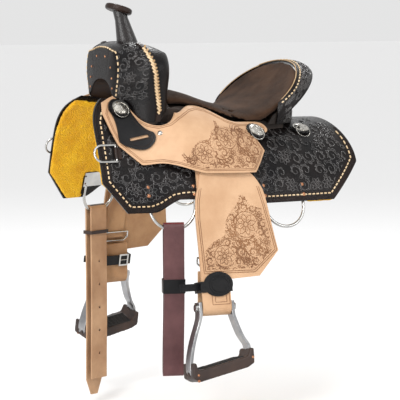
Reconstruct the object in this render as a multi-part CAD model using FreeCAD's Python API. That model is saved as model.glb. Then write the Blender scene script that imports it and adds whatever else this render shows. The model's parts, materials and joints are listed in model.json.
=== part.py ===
import FreeCAD, Part
import math
import os

V = FreeCAD.Vector

# Western saddle. Millimetres. X is across the saddle, with the near (rider's left) side at +X,
# Y runs from the horn (-) to the cantle (+), and Z is up. The origin is on the centre plane,
# at the height where a saddle rack's top rail carries the saddle.

# ---------------------------------------------------------------- driving dimensions
FIT = 0.3                   # clear gap between pieces that lie against each other

FRONT_HALF_WIDTH = 198      # half width of the skirts' barrel shape, front, middle and rear
MID_HALF_WIDTH = 237
REAR_HALF_WIDTH = 245
FRONT_CROWN = 125           # height of the barrel's crown, front, middle and rear
MID_CROWN = 75
REAR_CROWN = 38

SKIRT_FRONT = -280          # front and rear edges of the skirts, and their lowest edges
SKIRT_REAR = 350
SKIRT_DROP_FRONT = 155
SKIRT_DROP_REAR = 142
SKIRT_THICK = 6
LINING_THICK = 12
LINING_SHOWS = 4            # how far the lining shows below the skirt

JOCKEY_THICK = 4.5
JOCKEY_DROP = 71            # lower edge of the jockey, where the fender comes out
JOCKEY_SPRING = 42          # how far the jockey stands out at the fender, over the skirt

SEAT_PAD_THICK = 14
GROUND_SEAT_THICK = 6
CANTLE_HEIGHT = 163         # top of the cantle
CANTLE_HALF_WIDTH = 146
CANTLE_BACK_THICK = 4

SWELL_HALF_WIDTH = 154
SWELL_TOP = 214
SWELL_COVER_THICK = 3
GULLET_HALF_WIDTH = 60
GULLET_TOP = 132
GULLET_LINER_THICK = 3

HORN_CAP_RADIUS = 31
HORN_CAP_THICK = 14
HORN_NECK_RADIUS = 15
HORN_BASE_RADIUS = 24
HORN_POST_RADIUS = 9
HORN_TOP = 287              # height of the middle of the cap

FENDER_THICK = 5
FENDER_FLARE = 12           # degrees that the fender stands out from the vertical
FENDER_TOE = 7              # degrees that it turns to follow the skirt
FENDER_STAND = 220.5          # distance from the centre plane, at the jockey's lower edge
FENDER_LENGTH = 231         # from the jockey's edge to the fender's lower edge
FENDER_HINGE = 32           # below the jockey's edge, where the fender folds outwards
STRAP_THICK = 5
STRAP_WIDTH = 50
TAIL_WIDTH = 66
TAIL_CENTRE = -40           # along the fender, of the leathers and the stirrup
LEATHER_LENGTH = 293        # from the jockey's edge to the stirrup bolt
ROLLER_RADIUS = 13

BOLT_RADIUS = 4.8
STIRRUP_INSIDE_WIDTH = 127
STIRRUP_HEIGHT = 128        # from the bolt to the tread bar
STIRRUP_BAR_THICK = 7
STIRRUP_BAR_WIDTH = 30
TREAD_WIDTH = 64
TREAD_RISE = 24             # the rear end of the tread is higher than the front

DEE_ROD = 3.5               # rod radius of the rigging dees
BREAST_ROD = 2.5
CONCHO_RADIUS = 19
ROSETTE_RADIUS = 24

LATIGO_WIDTH = 45
LATIGO_DROP = 518           # height of its lowest point, below the origin
BILLET_WIDTH = 50
BILLET_DROP = 640
BILLET_HOLE_RADIUS = 3
BILLET_HOLE_SPACING = 56
BILLET_HOLES = 5

# ---------------------------------------------------------------- barrel surfaces
# A barrel surface is an upright half ellipse at each station along Y. Each row gives
# the station, the crown's height, the ellipse's centre height and its half width.
SKIRT = [
    (-300, FRONT_CROWN, -500, FRONT_HALF_WIDTH),
    (-170, (FRONT_CROWN + MID_CROWN) / 2 - 2, -360, (FRONT_HALF_WIDTH + MID_HALF_WIDTH) / 2 - 3),
    (-60, MID_CROWN, -250, MID_HALF_WIDTH),
    (100, REAR_CROWN, -207, REAR_HALF_WIDTH),
    (370, REAR_CROWN - 8, -207, REAR_HALF_WIDTH),
]
JOCKEY = [
    (-300, FRONT_CROWN + 7, -490, FRONT_HALF_WIDTH + 8),
    (-170, FRONT_CROWN - 13, -360, (FRONT_HALF_WIDTH + MID_HALF_WIDTH) / 2 + 9),
    (-110, FRONT_CROWN - 14, -215, MID_HALF_WIDTH - 33 + JOCKEY_SPRING),
    (-60, MID_CROWN + 26, -150, MID_HALF_WIDTH - 36 + JOCKEY_SPRING),
    (40, REAR_CROWN + 40, -190, REAR_HALF_WIDTH - 14 + JOCKEY_SPRING),
    (100, REAR_CROWN + 31, -207, REAR_HALF_WIDTH + 16),
    (370, REAR_CROWN + 5, -207, REAR_HALF_WIDTH + 8),
]


def station(surface, y):
    """Crown height, centre height and half width at y, as smooth curves through the rows."""
    rows = [surface[0]] + surface + [surface[-1]]
    y = min(max(y, surface[0][0]), surface[-1][0])
    k = 1
    while y > rows[k + 1][0]:
        k += 1
    a, b, c, d = rows[k - 1:k + 3]
    span = c[0] - b[0]
    t = (y - b[0]) / span
    values = []
    for i in (1, 2, 3):
        low = (c[i] - a[i]) / (c[0] - a[0]) * span
        high = (d[i] - b[i]) / (d[0] - b[0]) * span
        values.append((2 * t ** 3 - 3 * t ** 2 + 1) * b[i] + (t ** 3 - 2 * t ** 2 + t) * low
                      + (3 * t ** 2 - 2 * t ** 3) * c[i] + (t ** 3 - t ** 2) * high)
    return tuple(values)


def across(surface, y, z, lift=0):
    """Distance from the centre plane to a barrel surface at y and z."""
    crown, centre, half = station(surface, y)
    height = crown - centre + lift
    return (half + lift) * math.sqrt(max(0.0, 1 - ((z - centre) / height) ** 2))


def above(surface, y, x, lift=0):
    """Height of a barrel surface at y and x."""
    crown, centre, half = station(surface, y)
    return centre + (crown - centre + lift) * math.sqrt(max(0.0, 1 - (x / (half + lift)) ** 2))


def spline(points, marks=None):
    """A smooth curve through the points, at even or given parameter marks."""
    curve = Part.BSplineCurve()
    steps = len(points) - 1
    curve.interpolate(Points=points, Parameters=marks or [i / steps for i in range(steps + 1)])
    return curve


def smooth(points):
    return spline(points).toShape()


def surface_through(grid):
    """A smooth surface through rows of points."""
    rows = [spline(points) for points in grid]
    marks = [0.0]
    for a, b in zip(grid, grid[1:]):
        step = sum((q - p).Length for p, q in zip(a, b))
        marks.append(marks[-1] + step)
    marks = [m / marks[-1] for m in marks]
    columns = [spline([row.getPole(j + 1) for row in rows], marks)
               for j in range(rows[0].NbPoles)]
    poles = [[column.getPole(i + 1) for column in columns] for i in range(columns[0].NbPoles)]
    surface = Part.BSplineSurface()
    surface.buildFromPolesMultsKnots(poles, columns[0].getMultiplicities(),
                                     rows[0].getMultiplicities(), columns[0].getKnots(),
                                     rows[0].getKnots(), False, False, columns[0].Degree,
                                     rows[0].Degree)
    return surface


def arc_points(surface, y, lift, low, start=0.006, count=9):
    """Points on one station's ellipse from near the crown down to height low."""
    crown, centre, half = station(surface, y)
    end = math.acos((low - centre) / (crown - centre + lift))
    angles = [start + (end - start) * i / (count - 1) for i in range(count)]
    return [V((half + lift) * math.sin(a), y, centre + (crown - centre + lift) * math.cos(a))
            for a in angles]


LAYER_LOW = -172            # layers are made this far down, then cut to their outlines
STATION_STEP = 30           # every barrel surface is drawn through the same stations


def stations(y0, y1):
    first = math.floor(y0 / STATION_STEP)
    last = math.ceil(y1 / STATION_STEP)
    return [STATION_STEP * i for i in range(first, last + 1)]


def layer(surface, inner, outer, y0, y1, low=LAYER_LOW):
    """A curved sheet on the near side, between two lifts from a barrel surface."""
    wires = []
    for y in stations(y0, y1):
        top = arc_points(surface, y, outer, low)
        under = arc_points(surface, y, inner, low)[::-1]
        wires.append(Part.Wire([smooth(top), Part.makeLine(top[-1], under[0]),
                                smooth(under), Part.makeLine(under[-1], top[0])]))
    return Part.makeLoft(wires, True, False)


def beneath(surface, lift, y0, y1, low=LAYER_LOW - 20):
    """Everything under a barrel surface, both sides, as one solid."""
    wires = []
    for y in stations(y0, y1):
        right = arc_points(surface, y, lift, low, start=0.0, count=11)
        left = [V(-p.x, p.y, p.z) for p in right[:0:-1]]
        line = Part.makeLine(right[-1], left[0])
        wires.append(Part.Wire([smooth(left + right), line]))
    return Part.makeLoft(wires, True, False)


def outline(*runs):
    """A closed wire in the YZ plane. A run of two points is straight, more are smooth."""
    edges = []
    for run in runs:
        points = [V(0, y, z) for y, z in run]
        if len(points) == 2:
            edges.append(Part.makeLine(*points))
        else:
            edges.append(smooth(points))
    return Part.Wire(edges)


def side_prism(wire, x0=0.5, x1=320.0):
    """The outline carried across the near side."""
    face = Part.Face(wire)
    face.translate(V(x0, 0, 0))
    return face.extrude(V(x1 - x0, 0, 0))


def plan_prism(points):
    """A straight-sided plan outline carried from well below to well above."""
    corners = [V(x, y, -400) for x, y in points]
    face = Part.Face(Part.makePolygon(corners + corners[:1]))
    return face.extrude(V(0, 0, 900))


def quilt(top, bottom):
    """A solid between two grids of points, each a smooth surface, with ruled sides."""
    a, b = surface_through(top), surface_through(bottom)
    u0, u1, v0, v1 = a.bounds()
    p0, p1, q0, q1 = b.bounds()
    pairs = [(a.uIso(u0), b.uIso(p0)), (a.uIso(u1), b.uIso(p1)),
             (a.vIso(v0), b.vIso(q0)), (a.vIso(v1), b.vIso(q1))]
    faces = [a.toShape(), b.toShape()]
    faces += [Part.makeRuledSurface(m.toShape(), n.toShape()) for m, n in pairs]
    shell = Part.makeShell(faces)
    shell.sewShape()
    solid = Part.makeSolid(Part.Shell(shell.Faces))
    if solid.Volume < 0:
        solid.reverse()
    return solid


def mirrored(shape):
    return shape.mirror(V(0, 0, 0), V(1, 0, 0))


def seat_frame(surface, y, z, lift=0):
    """Placement whose local X runs rearward, Y up and Z outward on a barrel surface."""
    here = V(across(surface, y, z, lift), y, z)
    rear = V(across(surface, y + 4, z, lift), y + 4, z) - here
    up = V(across(surface, y, z + 4, lift), y, z + 4) - here
    out = rear.cross(up)
    out.normalize()
    rear.normalize()
    up = out.cross(rear)
    matrix = FreeCAD.Matrix(rear.x, up.x, out.x, here.x, rear.y, up.y, out.y, here.y,
                            rear.z, up.z, out.z, here.z, 0, 0, 0, 1)
    return FreeCAD.Placement(matrix)


def placed(shape, placement):
    moved = shape.copy()
    moved.Placement = placement.multiply(moved.Placement)
    return moved


def box(x0, x1, y0, y1, z0, z1):
    return Part.makeBox(x1 - x0, y1 - y0, z1 - z0, V(x0, y0, z0))


def save(name, *shapes):
    """Write one node: a single solid, or a group of like solids."""
    solids = []
    for shape in shapes:
        solids += shape.Solids
    whole = solids[0] if len(solids) == 1 else Part.makeCompound(solids)
    whole.exportStep("parts/" + name + ".step")
    print(name, len(solids), round(whole.Volume / 1000, 1), whole.isValid())
    return whole


def save_pair(name, *shapes):
    """Write a near node and its mirror image on the off side."""
    save("near_" + name, *shapes)
    save("off_" + name, *[mirrored(shape) for shape in shapes])


def save_both(name, *shapes):
    """Write one node that holds the pieces of both sides."""
    save(name, *(list(shapes) + [mirrored(shape) for shape in shapes]))


# ---------------------------------------------------------------- skirts and linings
CHANNEL = 38                # half width of the open channel over the horse's spine
CHANNEL_FRONT = 55
JOIN = 235                  # the two skirts meet behind this station


def skirt_outline(grow=0.0):
    """Side view of a skirt: square front, low front corner, hollow waist, pointed rear."""
    front = SKIRT_FRONT - grow
    rear = SKIRT_REAR + grow
    low = -SKIRT_DROP_FRONT - grow
    low_rear = -SKIRT_DROP_REAR - grow
    return outline(
        [(front, 0), (front, -90 - grow)],
        [(front, -90 - grow), (-232, low)],
        [(-232, low), (-178, low)],
        [(-178, low), (-152, low + 9), (-124, low + 25), (-92, low + 29)],
        [(-92, low + 29), (-40, low + 26), (20, low_rear + 9), (74, low_rear)],
        [(74, low_rear), (258, low_rear)],
        [(258, low_rear), (rear - 5, -62)],
        [(rear - 5, -62), (rear + 1, -30), (rear, 10)],
        [(rear, 10), (rear - 6, 60)],
        [(rear - 6, 60), (-170, 150)],
        [(-170, 150), (-238, 92)],
        [(-238, 92), (-264, 72), (-277, 44), (front, 0)],
    )


def skirt_plan():
    """Plan view of one side: open along the channel, joined at the rear."""
    return plan_prism([(CHANNEL_FRONT, -320), (320, -320), (320, 380), (1, 380), (1, JOIN),
                       (CHANNEL, JOIN - 50), (CHANNEL, -60), (CHANNEL_FRONT, -150)])


def skirt():
    """Tooled leather skirt, with the rigging's rivet holes."""
    sheet = layer(SKIRT, -SKIRT_THICK, 0, -300, 360)
    part = sheet.common(side_prism(skirt_outline())).common(skirt_plan())
    for y, z in RIVETS:
        hole = Part.makeCylinder(RIVET_RADIUS + 0.1, 30, V(0, 0, -18))
        part = part.cut(placed(hole, seat_frame(SKIRT, y, z)))
    return part


def lining():
    """Felted lining under the skirt, recessed where the rigging plates lie."""
    sheet = layer(SKIRT, -SKIRT_THICK - FIT - LINING_THICK, -SKIRT_THICK - FIT, -300, 360)
    part = sheet.common(side_prism(skirt_outline(LINING_SHOWS))).common(skirt_plan())
    for y, z in DEE_PLACES:
        recess = box(-DEE_HALF - 12, DEE_HALF + 12, -70, PLATE_HEIGHT + 2, PLATE_IN - 5.6, 0)
        part = part.cut(placed(recess, seat_frame(SKIRT, y, z)))
    return largest(part)


# ---------------------------------------------------------------- rigging dees and rivets
DEE_HALF = 50               # half width between the dee's legs
DEE_LEG = 16                # straight leg below the plate
PLATE_THICK = 2.5
PLATE_UNDER = 5.7           # inner face of the plate, below the skirt's inner surface
PLATE_IN = -SKIRT_THICK - PLATE_UNDER
PLATE_HEIGHT = 34
DEE_PLACES = [(-133, -126), (130, -130)]
RIVET_RADIUS = 2.2
RIVET_HEAD = 4.6
RIVETS = [(-183, -100), (-183, -118), (-86, -99), (-86, -116),
          (80, -104), (80, -126), (180, -105), (180, -127)]


def rigging_dee():
    """A flat plate between skirt and lining, with a half ring of rod below it."""
    plate = box(-DEE_HALF - 9, DEE_HALF + 9, 0, PLATE_HEIGHT, PLATE_IN, PLATE_IN + PLATE_THICK)
    centre = PLATE_IN + PLATE_THICK / 2
    path = Part.Wire([
        Part.makeLine(V(-DEE_HALF, 2, centre), V(-DEE_HALF, -DEE_LEG, centre)),
        Part.Arc(V(-DEE_HALF, -DEE_LEG, centre), V(0, -DEE_LEG - DEE_HALF, centre),
                 V(DEE_HALF, -DEE_LEG, centre)).toShape(),
        Part.makeLine(V(DEE_HALF, -DEE_LEG, centre), V(DEE_HALF, 2, centre))])
    ring = Part.Wire(Part.makeCircle(DEE_ROD, V(-DEE_HALF, 2, centre), V(0, 1, 0)))
    rod = path.makePipeShell([ring], True, False)
    return plate.fuse(rod).removeSplitter()


def rigging_dees():
    """The front and rear dees, drilled for their rivets."""
    dees = []
    for y, z in DEE_PLACES:
        dee = placed(rigging_dee(), seat_frame(SKIRT, y, z))
        for ry, rz in RIVETS:
            hole = Part.makeCylinder(RIVET_RADIUS + 0.1, 30, V(0, 0, -18))
            dee = dee.cut(placed(hole, seat_frame(SKIRT, ry, rz)))
        dees.append(dee)
    return dees


def rivet():
    """A domed copper rivet, its shank through the skirt and the rigging plate."""
    head = Part.makeSphere(RIVET_HEAD * 1.25, V(0, 0, -RIVET_HEAD * 0.72))
    head = head.common(Part.makeCylinder(RIVET_HEAD, 10, V(0, 0, 0.35)))
    shank = Part.makeCylinder(RIVET_RADIUS, 12, V(0, 0, -11.2))
    return head.fuse(shank)


def rivets():
    return [placed(rivet(), seat_frame(SKIRT, y, z)) for y, z in RIVETS]


# ---------------------------------------------------------------- breast collar dees
BREAST_PLACE = (-243, -27)
BREAST_HALF = 19
BREAST_REACH = 30
BREAST_LIFT = 4.2


def breast_dee():
    """A dee whose straight bar turns in a leather keeper at the skirt's front edge."""
    h, r = BREAST_HALF, BREAST_HALF
    a, b = V(0, h, 0), V(-BREAST_REACH, h, 0)
    c, d = V(-BREAST_REACH, -h, 0), V(0, -h, 0)
    path = Part.Wire([Part.makeLine(a, b), Part.Arc(b, V(-BREAST_REACH - r, 0, 0), c).toShape(),
                      Part.makeLine(c, d)])
    ring = Part.Wire(Part.makeCircle(BREAST_ROD, a, V(1, 0, 0)))
    rod = path.makePipeShell([ring], True, False)
    bar = Part.makeCylinder(BREAST_ROD, 2 * h, V(0, -h, 0), V(0, 1, 0))
    ends = [Part.makeSphere(BREAST_ROD, V(0, s * h, 0)) for s in (-1, 1)]
    shape = rod.fuse([bar] + ends).removeSplitter()
    shape.translate(V(0, 0, BREAST_LIFT))
    return placed(shape, seat_frame(SKIRT, *BREAST_PLACE))


def dee_keeper():
    """A leather tab folded round the dee's bar and fixed to the skirt behind it."""
    half = BREAST_HALF - BREAST_ROD - 3.5
    outer = BREAST_ROD + 0.1 + 1.5
    loop = Part.makeCylinder(outer, 2 * half, V(0, -half, BREAST_LIFT), V(0, 1, 0))
    tab = box(0, 13, -half, half, BREAST_LIFT - outer, BREAST_LIFT - outer + 2.4)
    bore = Part.makeCylinder(BREAST_ROD + 0.1, 60, V(0, -30, BREAST_LIFT), V(0, 1, 0))
    shape = loop.fuse(tab).cut(bore)
    return placed(shape, seat_frame(SKIRT, *BREAST_PLACE))


# ---------------------------------------------------------------- jockeys and their trim
def jockey():
    """Natural leather seat jockey: it covers the bars and the top of the fender."""
    low = -JOCKEY_DROP
    wire = outline(
        [(-200, 101), (-249, 82)],
        [(-249, 82), (-256, 60)],
        [(-256, 60), (-247, 23), (-236, -9)],
        [(-236, -9), (-192, -51)],
        [(-192, -51), (-170, -50), (-147, -48), (-121, -53), (-94, -62), (-66, low + 2)],
        [(-66, low + 2), (50, low)],
        [(50, low), (97, -28)],
        [(97, -28), (90, -10)],
        [(90, -10), (98, 0), (124, 10), (132, 18), (128, 27), (112, 32)],
        [(112, 32), (80, 33), (50, 35), (26, 43), (4, 57), (-15, 67), (-37, 72), (-60, 69),
         (-80, 61), (-96, 59)],
        [(-96, 59), (-108, 46), (-122, 36), (-140, 32), (-158, 36), (-176, 48), (-188, 68),
         (-194, 84), (-200, 101)],
    )
    part = layer(JOCKEY, -JOCKEY_THICK, 0, -300, 200, low=-90).common(side_prism(wire))
    part = part.cut(swell_block(-FIT))
    return largest(part.cut(gullet(GULLET_LINER_THICK + FIT, -300, -90)))


HOLDER_THICK = 4


def latigo_holder():
    """Pear-shaped leather strap holder with one slot, fixed on the front of the jockey."""
    wire = outline(
        [(-238, 62), (-232, 36), (-233, 12), (-232, -2)],
        [(-232, -2), (-219, -11), (-196, -18), (-176, -17), (-160, -5), (-153, 10), (-158, 20)],
        [(-158, 20), (-178, 36), (-190, 60), (-197, 78)],
        [(-197, 78), (-216, 90), (-234, 80), (-238, 62)],
    )
    slot = outline([(-209, 0), (-166, 8)], [(-166, 8), (-167, 14)], [(-167, 14), (-210, 6)],
                   [(-210, 6), (-209, 0)])
    sheet = layer(JOCKEY, FIT, FIT + HOLDER_THICK, -300, 200, low=-90)
    part = sheet.common(side_prism(wire)).cut(side_prism(slot))
    return largest(part.cut(swell_block(-FIT)))


def rosette():
    """Scalloped leather rosette under a concho."""
    disc = Part.makeCylinder(ROSETTE_RADIUS - 2, 3)
    lobes = 14
    for i in range(lobes):
        a = 2 * math.pi * i / lobes
        centre = V((ROSETTE_RADIUS - 5) * math.cos(a), (ROSETTE_RADIUS - 5) * math.sin(a), 0)
        disc = disc.fuse(Part.makeCylinder(5, 3, centre))
    return disc.removeSplitter()


def concho():
    """Round domed silver concho with a raised rim."""
    rim = Part.makeCylinder(CONCHO_RADIUS, 2.5)
    dome = Part.makeSphere(34, V(0, 0, -27)).common(Part.makeCylinder(CONCHO_RADIUS - 3, 20))
    return rim.fuse(dome)


# Concho places: surface, station, height, and lift of the rosette from that surface.
CONCHOS = [(JOCKEY, -214, 69, FIT + HOLDER_THICK + 1.4), (JOCKEY, 94, 13, 2.3),
           (SKIRT, 246, 10, 1.6)]


def concho_set(shape, extra):
    raised = shape.copy()
    raised.translate(V(0, 0, extra))
    return [placed(raised, seat_frame(s, y, z, lift)) for s, y, z, lift in CONCHOS]


def jockey_screw():
    """Small domed screw that fixes the jockey below the swell."""
    head = Part.makeSphere(8, V(0, 0, -4.5)).common(Part.makeCylinder(5.5, 10, V(0, 0, 0.2)))
    return placed(head, seat_frame(JOCKEY, -142, 16))


# ---------------------------------------------------------------- seat, ground seat, cantle
# Each seat row: middle point (y, z) and edge point (x, y, z); the rows run front to rear.
TILT = 0.69                 # the cantle's face leans back at about 45 degrees
SEAT_ROWS = [
    ((-97, 106), (112, -97, 66), 0.0),
    ((-37, 101), (105, -37, 74), 0.0),
    ((4, 87), (116, 4, 60), 0.0),
    ((50, 73), (134, 50, 38), 0.0),
    ((95, 67), (131, 98, 35), 0.05),
    ((135, 71), (135, 126, 46), 0.25),
    ((175, 86), (140, 148, 61), 0.45),
    ((215, CANTLE_HEIGHT - 47), (CANTLE_HALF_WIDTH - 1, 164, 76), 0.6),
    ((256, CANTLE_HEIGHT), (CANTLE_HALF_WIDTH, 178, CANTLE_HEIGHT - 75), TILT),
]


def seat_row(row, sink, narrow=1.0):
    """Points across one seat row, sunk square to the seat's surface and drawn in a little."""
    (cy, cz), (ex, ey, ez), lean = row
    half = ex - 0.5 * sink
    points = []
    for i in range(9):
        a = math.asin(narrow) * (i / 4 - 1)
        s = 1 - math.cos(a)
        points.append(V(half * math.sin(a), cy + (ey - cy) * s + sink * lean,
                        cz + (ez - cz) * s - sink * math.sqrt(1 - lean ** 2)))
    return points


def seat_slab(rows, top, bottom, narrow=1.0):
    """A slab that follows the seat, between two depths below its surface."""
    return quilt([seat_row(row, top, narrow) for row in rows],
                 [seat_row(row, bottom, narrow) for row in rows])


def seat_pad():
    """Padded suede seat, from the swell to the cantle's rim, lying on the jockeys' edges."""
    slab = seat_slab(SEAT_ROWS, 0, SEAT_PAD_THICK)
    bed = beneath(JOCKEY, 0.5, -150, 180)
    core = box(-92, 92, -200, 200, -300, 300)
    return largest(slab.cut(bed.cut(core)))


def ground_seat():
    """Stiff ground seat under the pad, between the bars."""
    depth = SEAT_PAD_THICK + GROUND_SEAT_THICK
    slab = seat_slab(SEAT_ROWS[:6], SEAT_PAD_THICK + FIT, depth, 0.7)
    return largest(slab.cut(beneath(SKIRT, 0.5, -150, 180)))


CANTLE_BASE = 25


def cantle_wedge(inset):
    """The cantle's block: from its base on the bars up to the rim's leaning outline."""
    rim = []
    base = []
    for i in range(9):
        a = math.radians(-90 + 22.5 * i)
        rim.append(V((CANTLE_HALF_WIDTH - 3 - inset) * math.sin(a), 178 + (78 - inset) * math.cos(a),
                     CANTLE_HEIGHT - 75 + 75 * math.cos(a) - 2))
        base.append(V((126 - inset) * math.sin(a), 150 + (112 - inset) * math.cos(a), CANTLE_BASE))
    wires = [Part.Wire([smooth(p), Part.makeLine(p[-1], p[0])]) for p in (base, rim)]
    return Part.makeLoft(wires, True, True)


def cantle_block():
    """Wooden cantle under the dish of the seat."""
    block = cantle_wedge(CANTLE_BACK_THICK + FIT)
    block = block.cut(seat_slab(SEAT_ROWS[3:], -90, SEAT_PAD_THICK + GROUND_SEAT_THICK + FIT))
    return largest(block.cut(beneath(JOCKEY, -BAR_INSET, 80, 300)))


def cantle_back():
    """Tooled leather over the back of the cantle."""
    shell = cantle_wedge(0).cut(cantle_wedge(CANTLE_BACK_THICK))
    shell = shell.cut(seat_slab(SEAT_ROWS[3:], -90, SEAT_PAD_THICK + GROUND_SEAT_THICK + FIT))
    shell = shell.cut(box(-200, 200, 0, 172, -50, 300))
    return largest(shell.cut(beneath(SKIRT, 0.5, 80, 360)))


def cantle_roll():
    """Rolled leather rim round the cantle, widest at the back and drawn out at its ends."""
    top, bottom = [], []
    for i in range(13):
        a = math.radians(-102 + 17 * i)
        s, c = math.sin(a), math.cos(a)
        inner = V((CANTLE_HALF_WIDTH + 1) * s, 180 + 79 * c, CANTLE_HEIGHT - 73 + 75 * c)
        outer = V((CANTLE_HALF_WIDTH + 12) * s, 184 + 126 * c, CANTLE_HEIGHT - 109 + 98 * c)
        along = V(CANTLE_HALF_WIDTH * c, -78 * s, -75 * s)
        facing = along.cross(outer - inner)
        facing.normalize()
        bulge = [0.3, 0.8, 1.0, 0.8, 0.3]
        line = [inner + (outer - inner) * (k / 4) for k in range(5)]
        thick = 7 if 2 < i < 10 else 5
        top.append([p + facing * thick * b for p, b in zip(line, bulge)])
        bottom.append([p - facing * thick * b for p, b in zip(line, bulge)])
    (cy, cz), (ex, ey, ez), lean = SEAT_ROWS[-1]
    rim = ((cy + FIT, cz + FIT), (ex + FIT, ey, ez), lean)
    dish = seat_slab(SEAT_ROWS[5:8] + [rim], -40, SEAT_PAD_THICK + 12)
    return largest(quilt(top, bottom).cut(dish))


def largest(shape):
    """The main solid, without the slivers that a cut leaves beside it."""
    return max(shape.Solids, key=lambda s: s.Volume)


# ---------------------------------------------------------------- tree bars, fork, swell
BAR_INSET = JOCKEY_THICK + 1.5


def tree_bar():
    """One bar of the tree, between the skirt and the jockey."""
    top, bottom = [], []
    for i in range(16):
        y = -208 + 412 * i / 15
        outer = 98 + 22 * math.sin(math.pi * i / 15)
        line = [46 + (outer - 46) * k / 4 for k in range(5)]
        low = [V(x, y, above(SKIRT, y, x, 1)) for x in line]
        bottom.append(low)
        top.append([V(p.x, y, max(p.z + 4, above(JOCKEY, y, p.x, -BAR_INSET - 1))) for p in low])
    bar = quilt(top, bottom)
    bar = bar.cut(seat_slab(SEAT_ROWS, -90, SEAT_PAD_THICK + GROUND_SEAT_THICK + 3 * FIT))
    return largest(bar.cut(gullet(GULLET_LINER_THICK + FIT, -300, -90)))


# Swell rows, front to rear: station, half width at the foot, share of the full half
# width, and drop of its top.
SWELL_ROWS = [(-214, 60, 0.49, -14), (-198, 76, 0.66, -6), (-172, 112, 0.91, 0),
              (-145, 132, 1.0, -1), (-124, 132, 0.97, -6), (-112, 122, 0.9, -12)]


def swell_block(inset):
    """The fork's outer shape, from front to rear; it narrows to its foot in front."""
    wires = []
    for y, foot, share, drop in SWELL_ROWS:
        w = SWELL_HALF_WIDTH * share - inset
        foot -= inset
        top = SWELL_TOP + drop - inset
        half = [(foot, 20), (foot + 0.12 * (w - foot), 70), (foot + 0.48 * (w - foot), 108),
                (foot + 0.86 * (w - foot), 132), (w, 152), (0.97 * w, 172), (0.86 * w, 190),
                (0.66 * w, top - 8), (0.33 * w, top - 2), (0, top)]
        right = [V(x, y, z) for x, z in half]
        left = [V(-p.x, p.y, p.z) for p in right[-2::-1]]
        wires.append(Part.Wire([smooth(right + left), Part.makeLine(left[-1], right[0])]))
    block = Part.makeLoft(wires, True, False)
    if inset:
        block = block.common(box(-200, 200, SWELL_ROWS[0][0] + inset, SWELL_ROWS[-1][0] - inset,
                                 -50, 300))
    return block


def gullet(grow, y0, y1):
    """The arch that clears the withers."""
    w = GULLET_HALF_WIDTH + grow
    top = GULLET_TOP + grow
    arch = [V(w, 0, 0), V(w, 0, top - 55), V(w * 0.86, 0, top - 25), V(w * 0.5, 0, top - 6),
            V(0, 0, top), V(-w * 0.5, 0, top - 6), V(-w * 0.86, 0, top - 25), V(-w, 0, top - 55),
            V(-w, 0, 0)]
    edges = [Part.makeLine(arch[0], arch[1]), smooth(arch[1:-1]), Part.makeLine(arch[-2], arch[-1]),
             Part.makeLine(arch[-1], arch[0])]
    face = Part.Face(Part.Wire(edges))
    face.translate(V(0, y0, 0))
    return face.extrude(V(0, y1 - y0, 0))


def tree_fork():
    """Wooden fork of the tree, standing on the bars, bored for the horn's post."""
    block = swell_block(SWELL_COVER_THICK + FIT)
    block = block.cut(gullet(GULLET_LINER_THICK + FIT, -300, 0))
    block = block.cut(beneath(JOCKEY, -BAR_INSET, -300, -30))
    return largest(block.cut(horn_cylinder(HORN_POST_RADIUS + 0.1, -70, 80)))


def swell_cover():
    """Tooled leather over the fork, front, top and sides."""
    shell = swell_block(0).cut(swell_block(SWELL_COVER_THICK))
    shell = shell.cut(gullet(FIT / 2, -300, 0))
    shell = shell.cut(beneath(JOCKEY, 0.5, -300, -30))
    return largest(shell.cut(horn_cylinder(HORN_POST_RADIUS + 1, -70, 80)))


def gullet_liner():
    """Leather lining of the gullet arch."""
    y0 = SWELL_ROWS[0][0] + SWELL_COVER_THICK + FIT
    y1 = SWELL_ROWS[-1][0] - SWELL_COVER_THICK - FIT
    arch = gullet(GULLET_LINER_THICK, y0, y1).cut(gullet(0, y0 - 1, y1 + 1))
    return largest(arch.cut(beneath(SKIRT, 0.5, -300, -30)))


def swell_lacing():
    """Braided rawhide lacing down the rear edge of the swell's near side."""
    wire = outline(
        [(-170, 225), (-167, 200), (-158, 143), (-148, 99), (-143, 66), (-145, 40)],
        [(-145, 40), (-135, 40)],
        [(-135, 40), (-133, 66), (-138, 99), (-148, 143), (-157, 200), (-160, 225)],
        [(-160, 225), (-170, 225)])
    braid = swell_block(-4.5).cut(swell_block(-FIT)).common(side_prism(wire, 88))
    return largest(braid.cut(beneath(JOCKEY, 0.5, -300, -30)))


# ---------------------------------------------------------------- horn
HORN_FOOT = V(0, -147, 206)
HORN_AXIS = V(0, -0.25, 0.968)
CAP_FACING = V(0, 0.3, 0.954)


def horn_cylinder(radius, start, end):
    return Part.makeCylinder(radius, end - start, HORN_FOOT + HORN_AXIS * start, HORN_AXIS)


def cap_disc(radius, low, high):
    middle = V(0, -169, HORN_TOP)
    return Part.makeCylinder(radius, high - low, middle + CAP_FACING * low, CAP_FACING)


def horn_post():
    """Steel post of the horn, let into the fork."""
    half = HORN_CAP_THICK / 2
    return horn_cylinder(HORN_POST_RADIUS, -62, 90).cut(cap_disc(90, half - 4, 90))


def horn_neck():
    """Leather wrap on the horn's neck, spreading on to the swell."""
    half = HORN_CAP_THICK / 2
    cone = Part.makeCone(HORN_BASE_RADIUS, HORN_NECK_RADIUS, 58, HORN_FOOT + HORN_AXIS * 2, HORN_AXIS)
    top = horn_cylinder(HORN_NECK_RADIUS, 60, 95)
    neck = cone.fuse(top).cut(horn_cylinder(HORN_POST_RADIUS + FIT, -80, 120))
    neck = neck.cut(cap_disc(90, -half - FIT, 90))
    return largest(neck.cut(swell_block(-0.3)))


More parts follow.
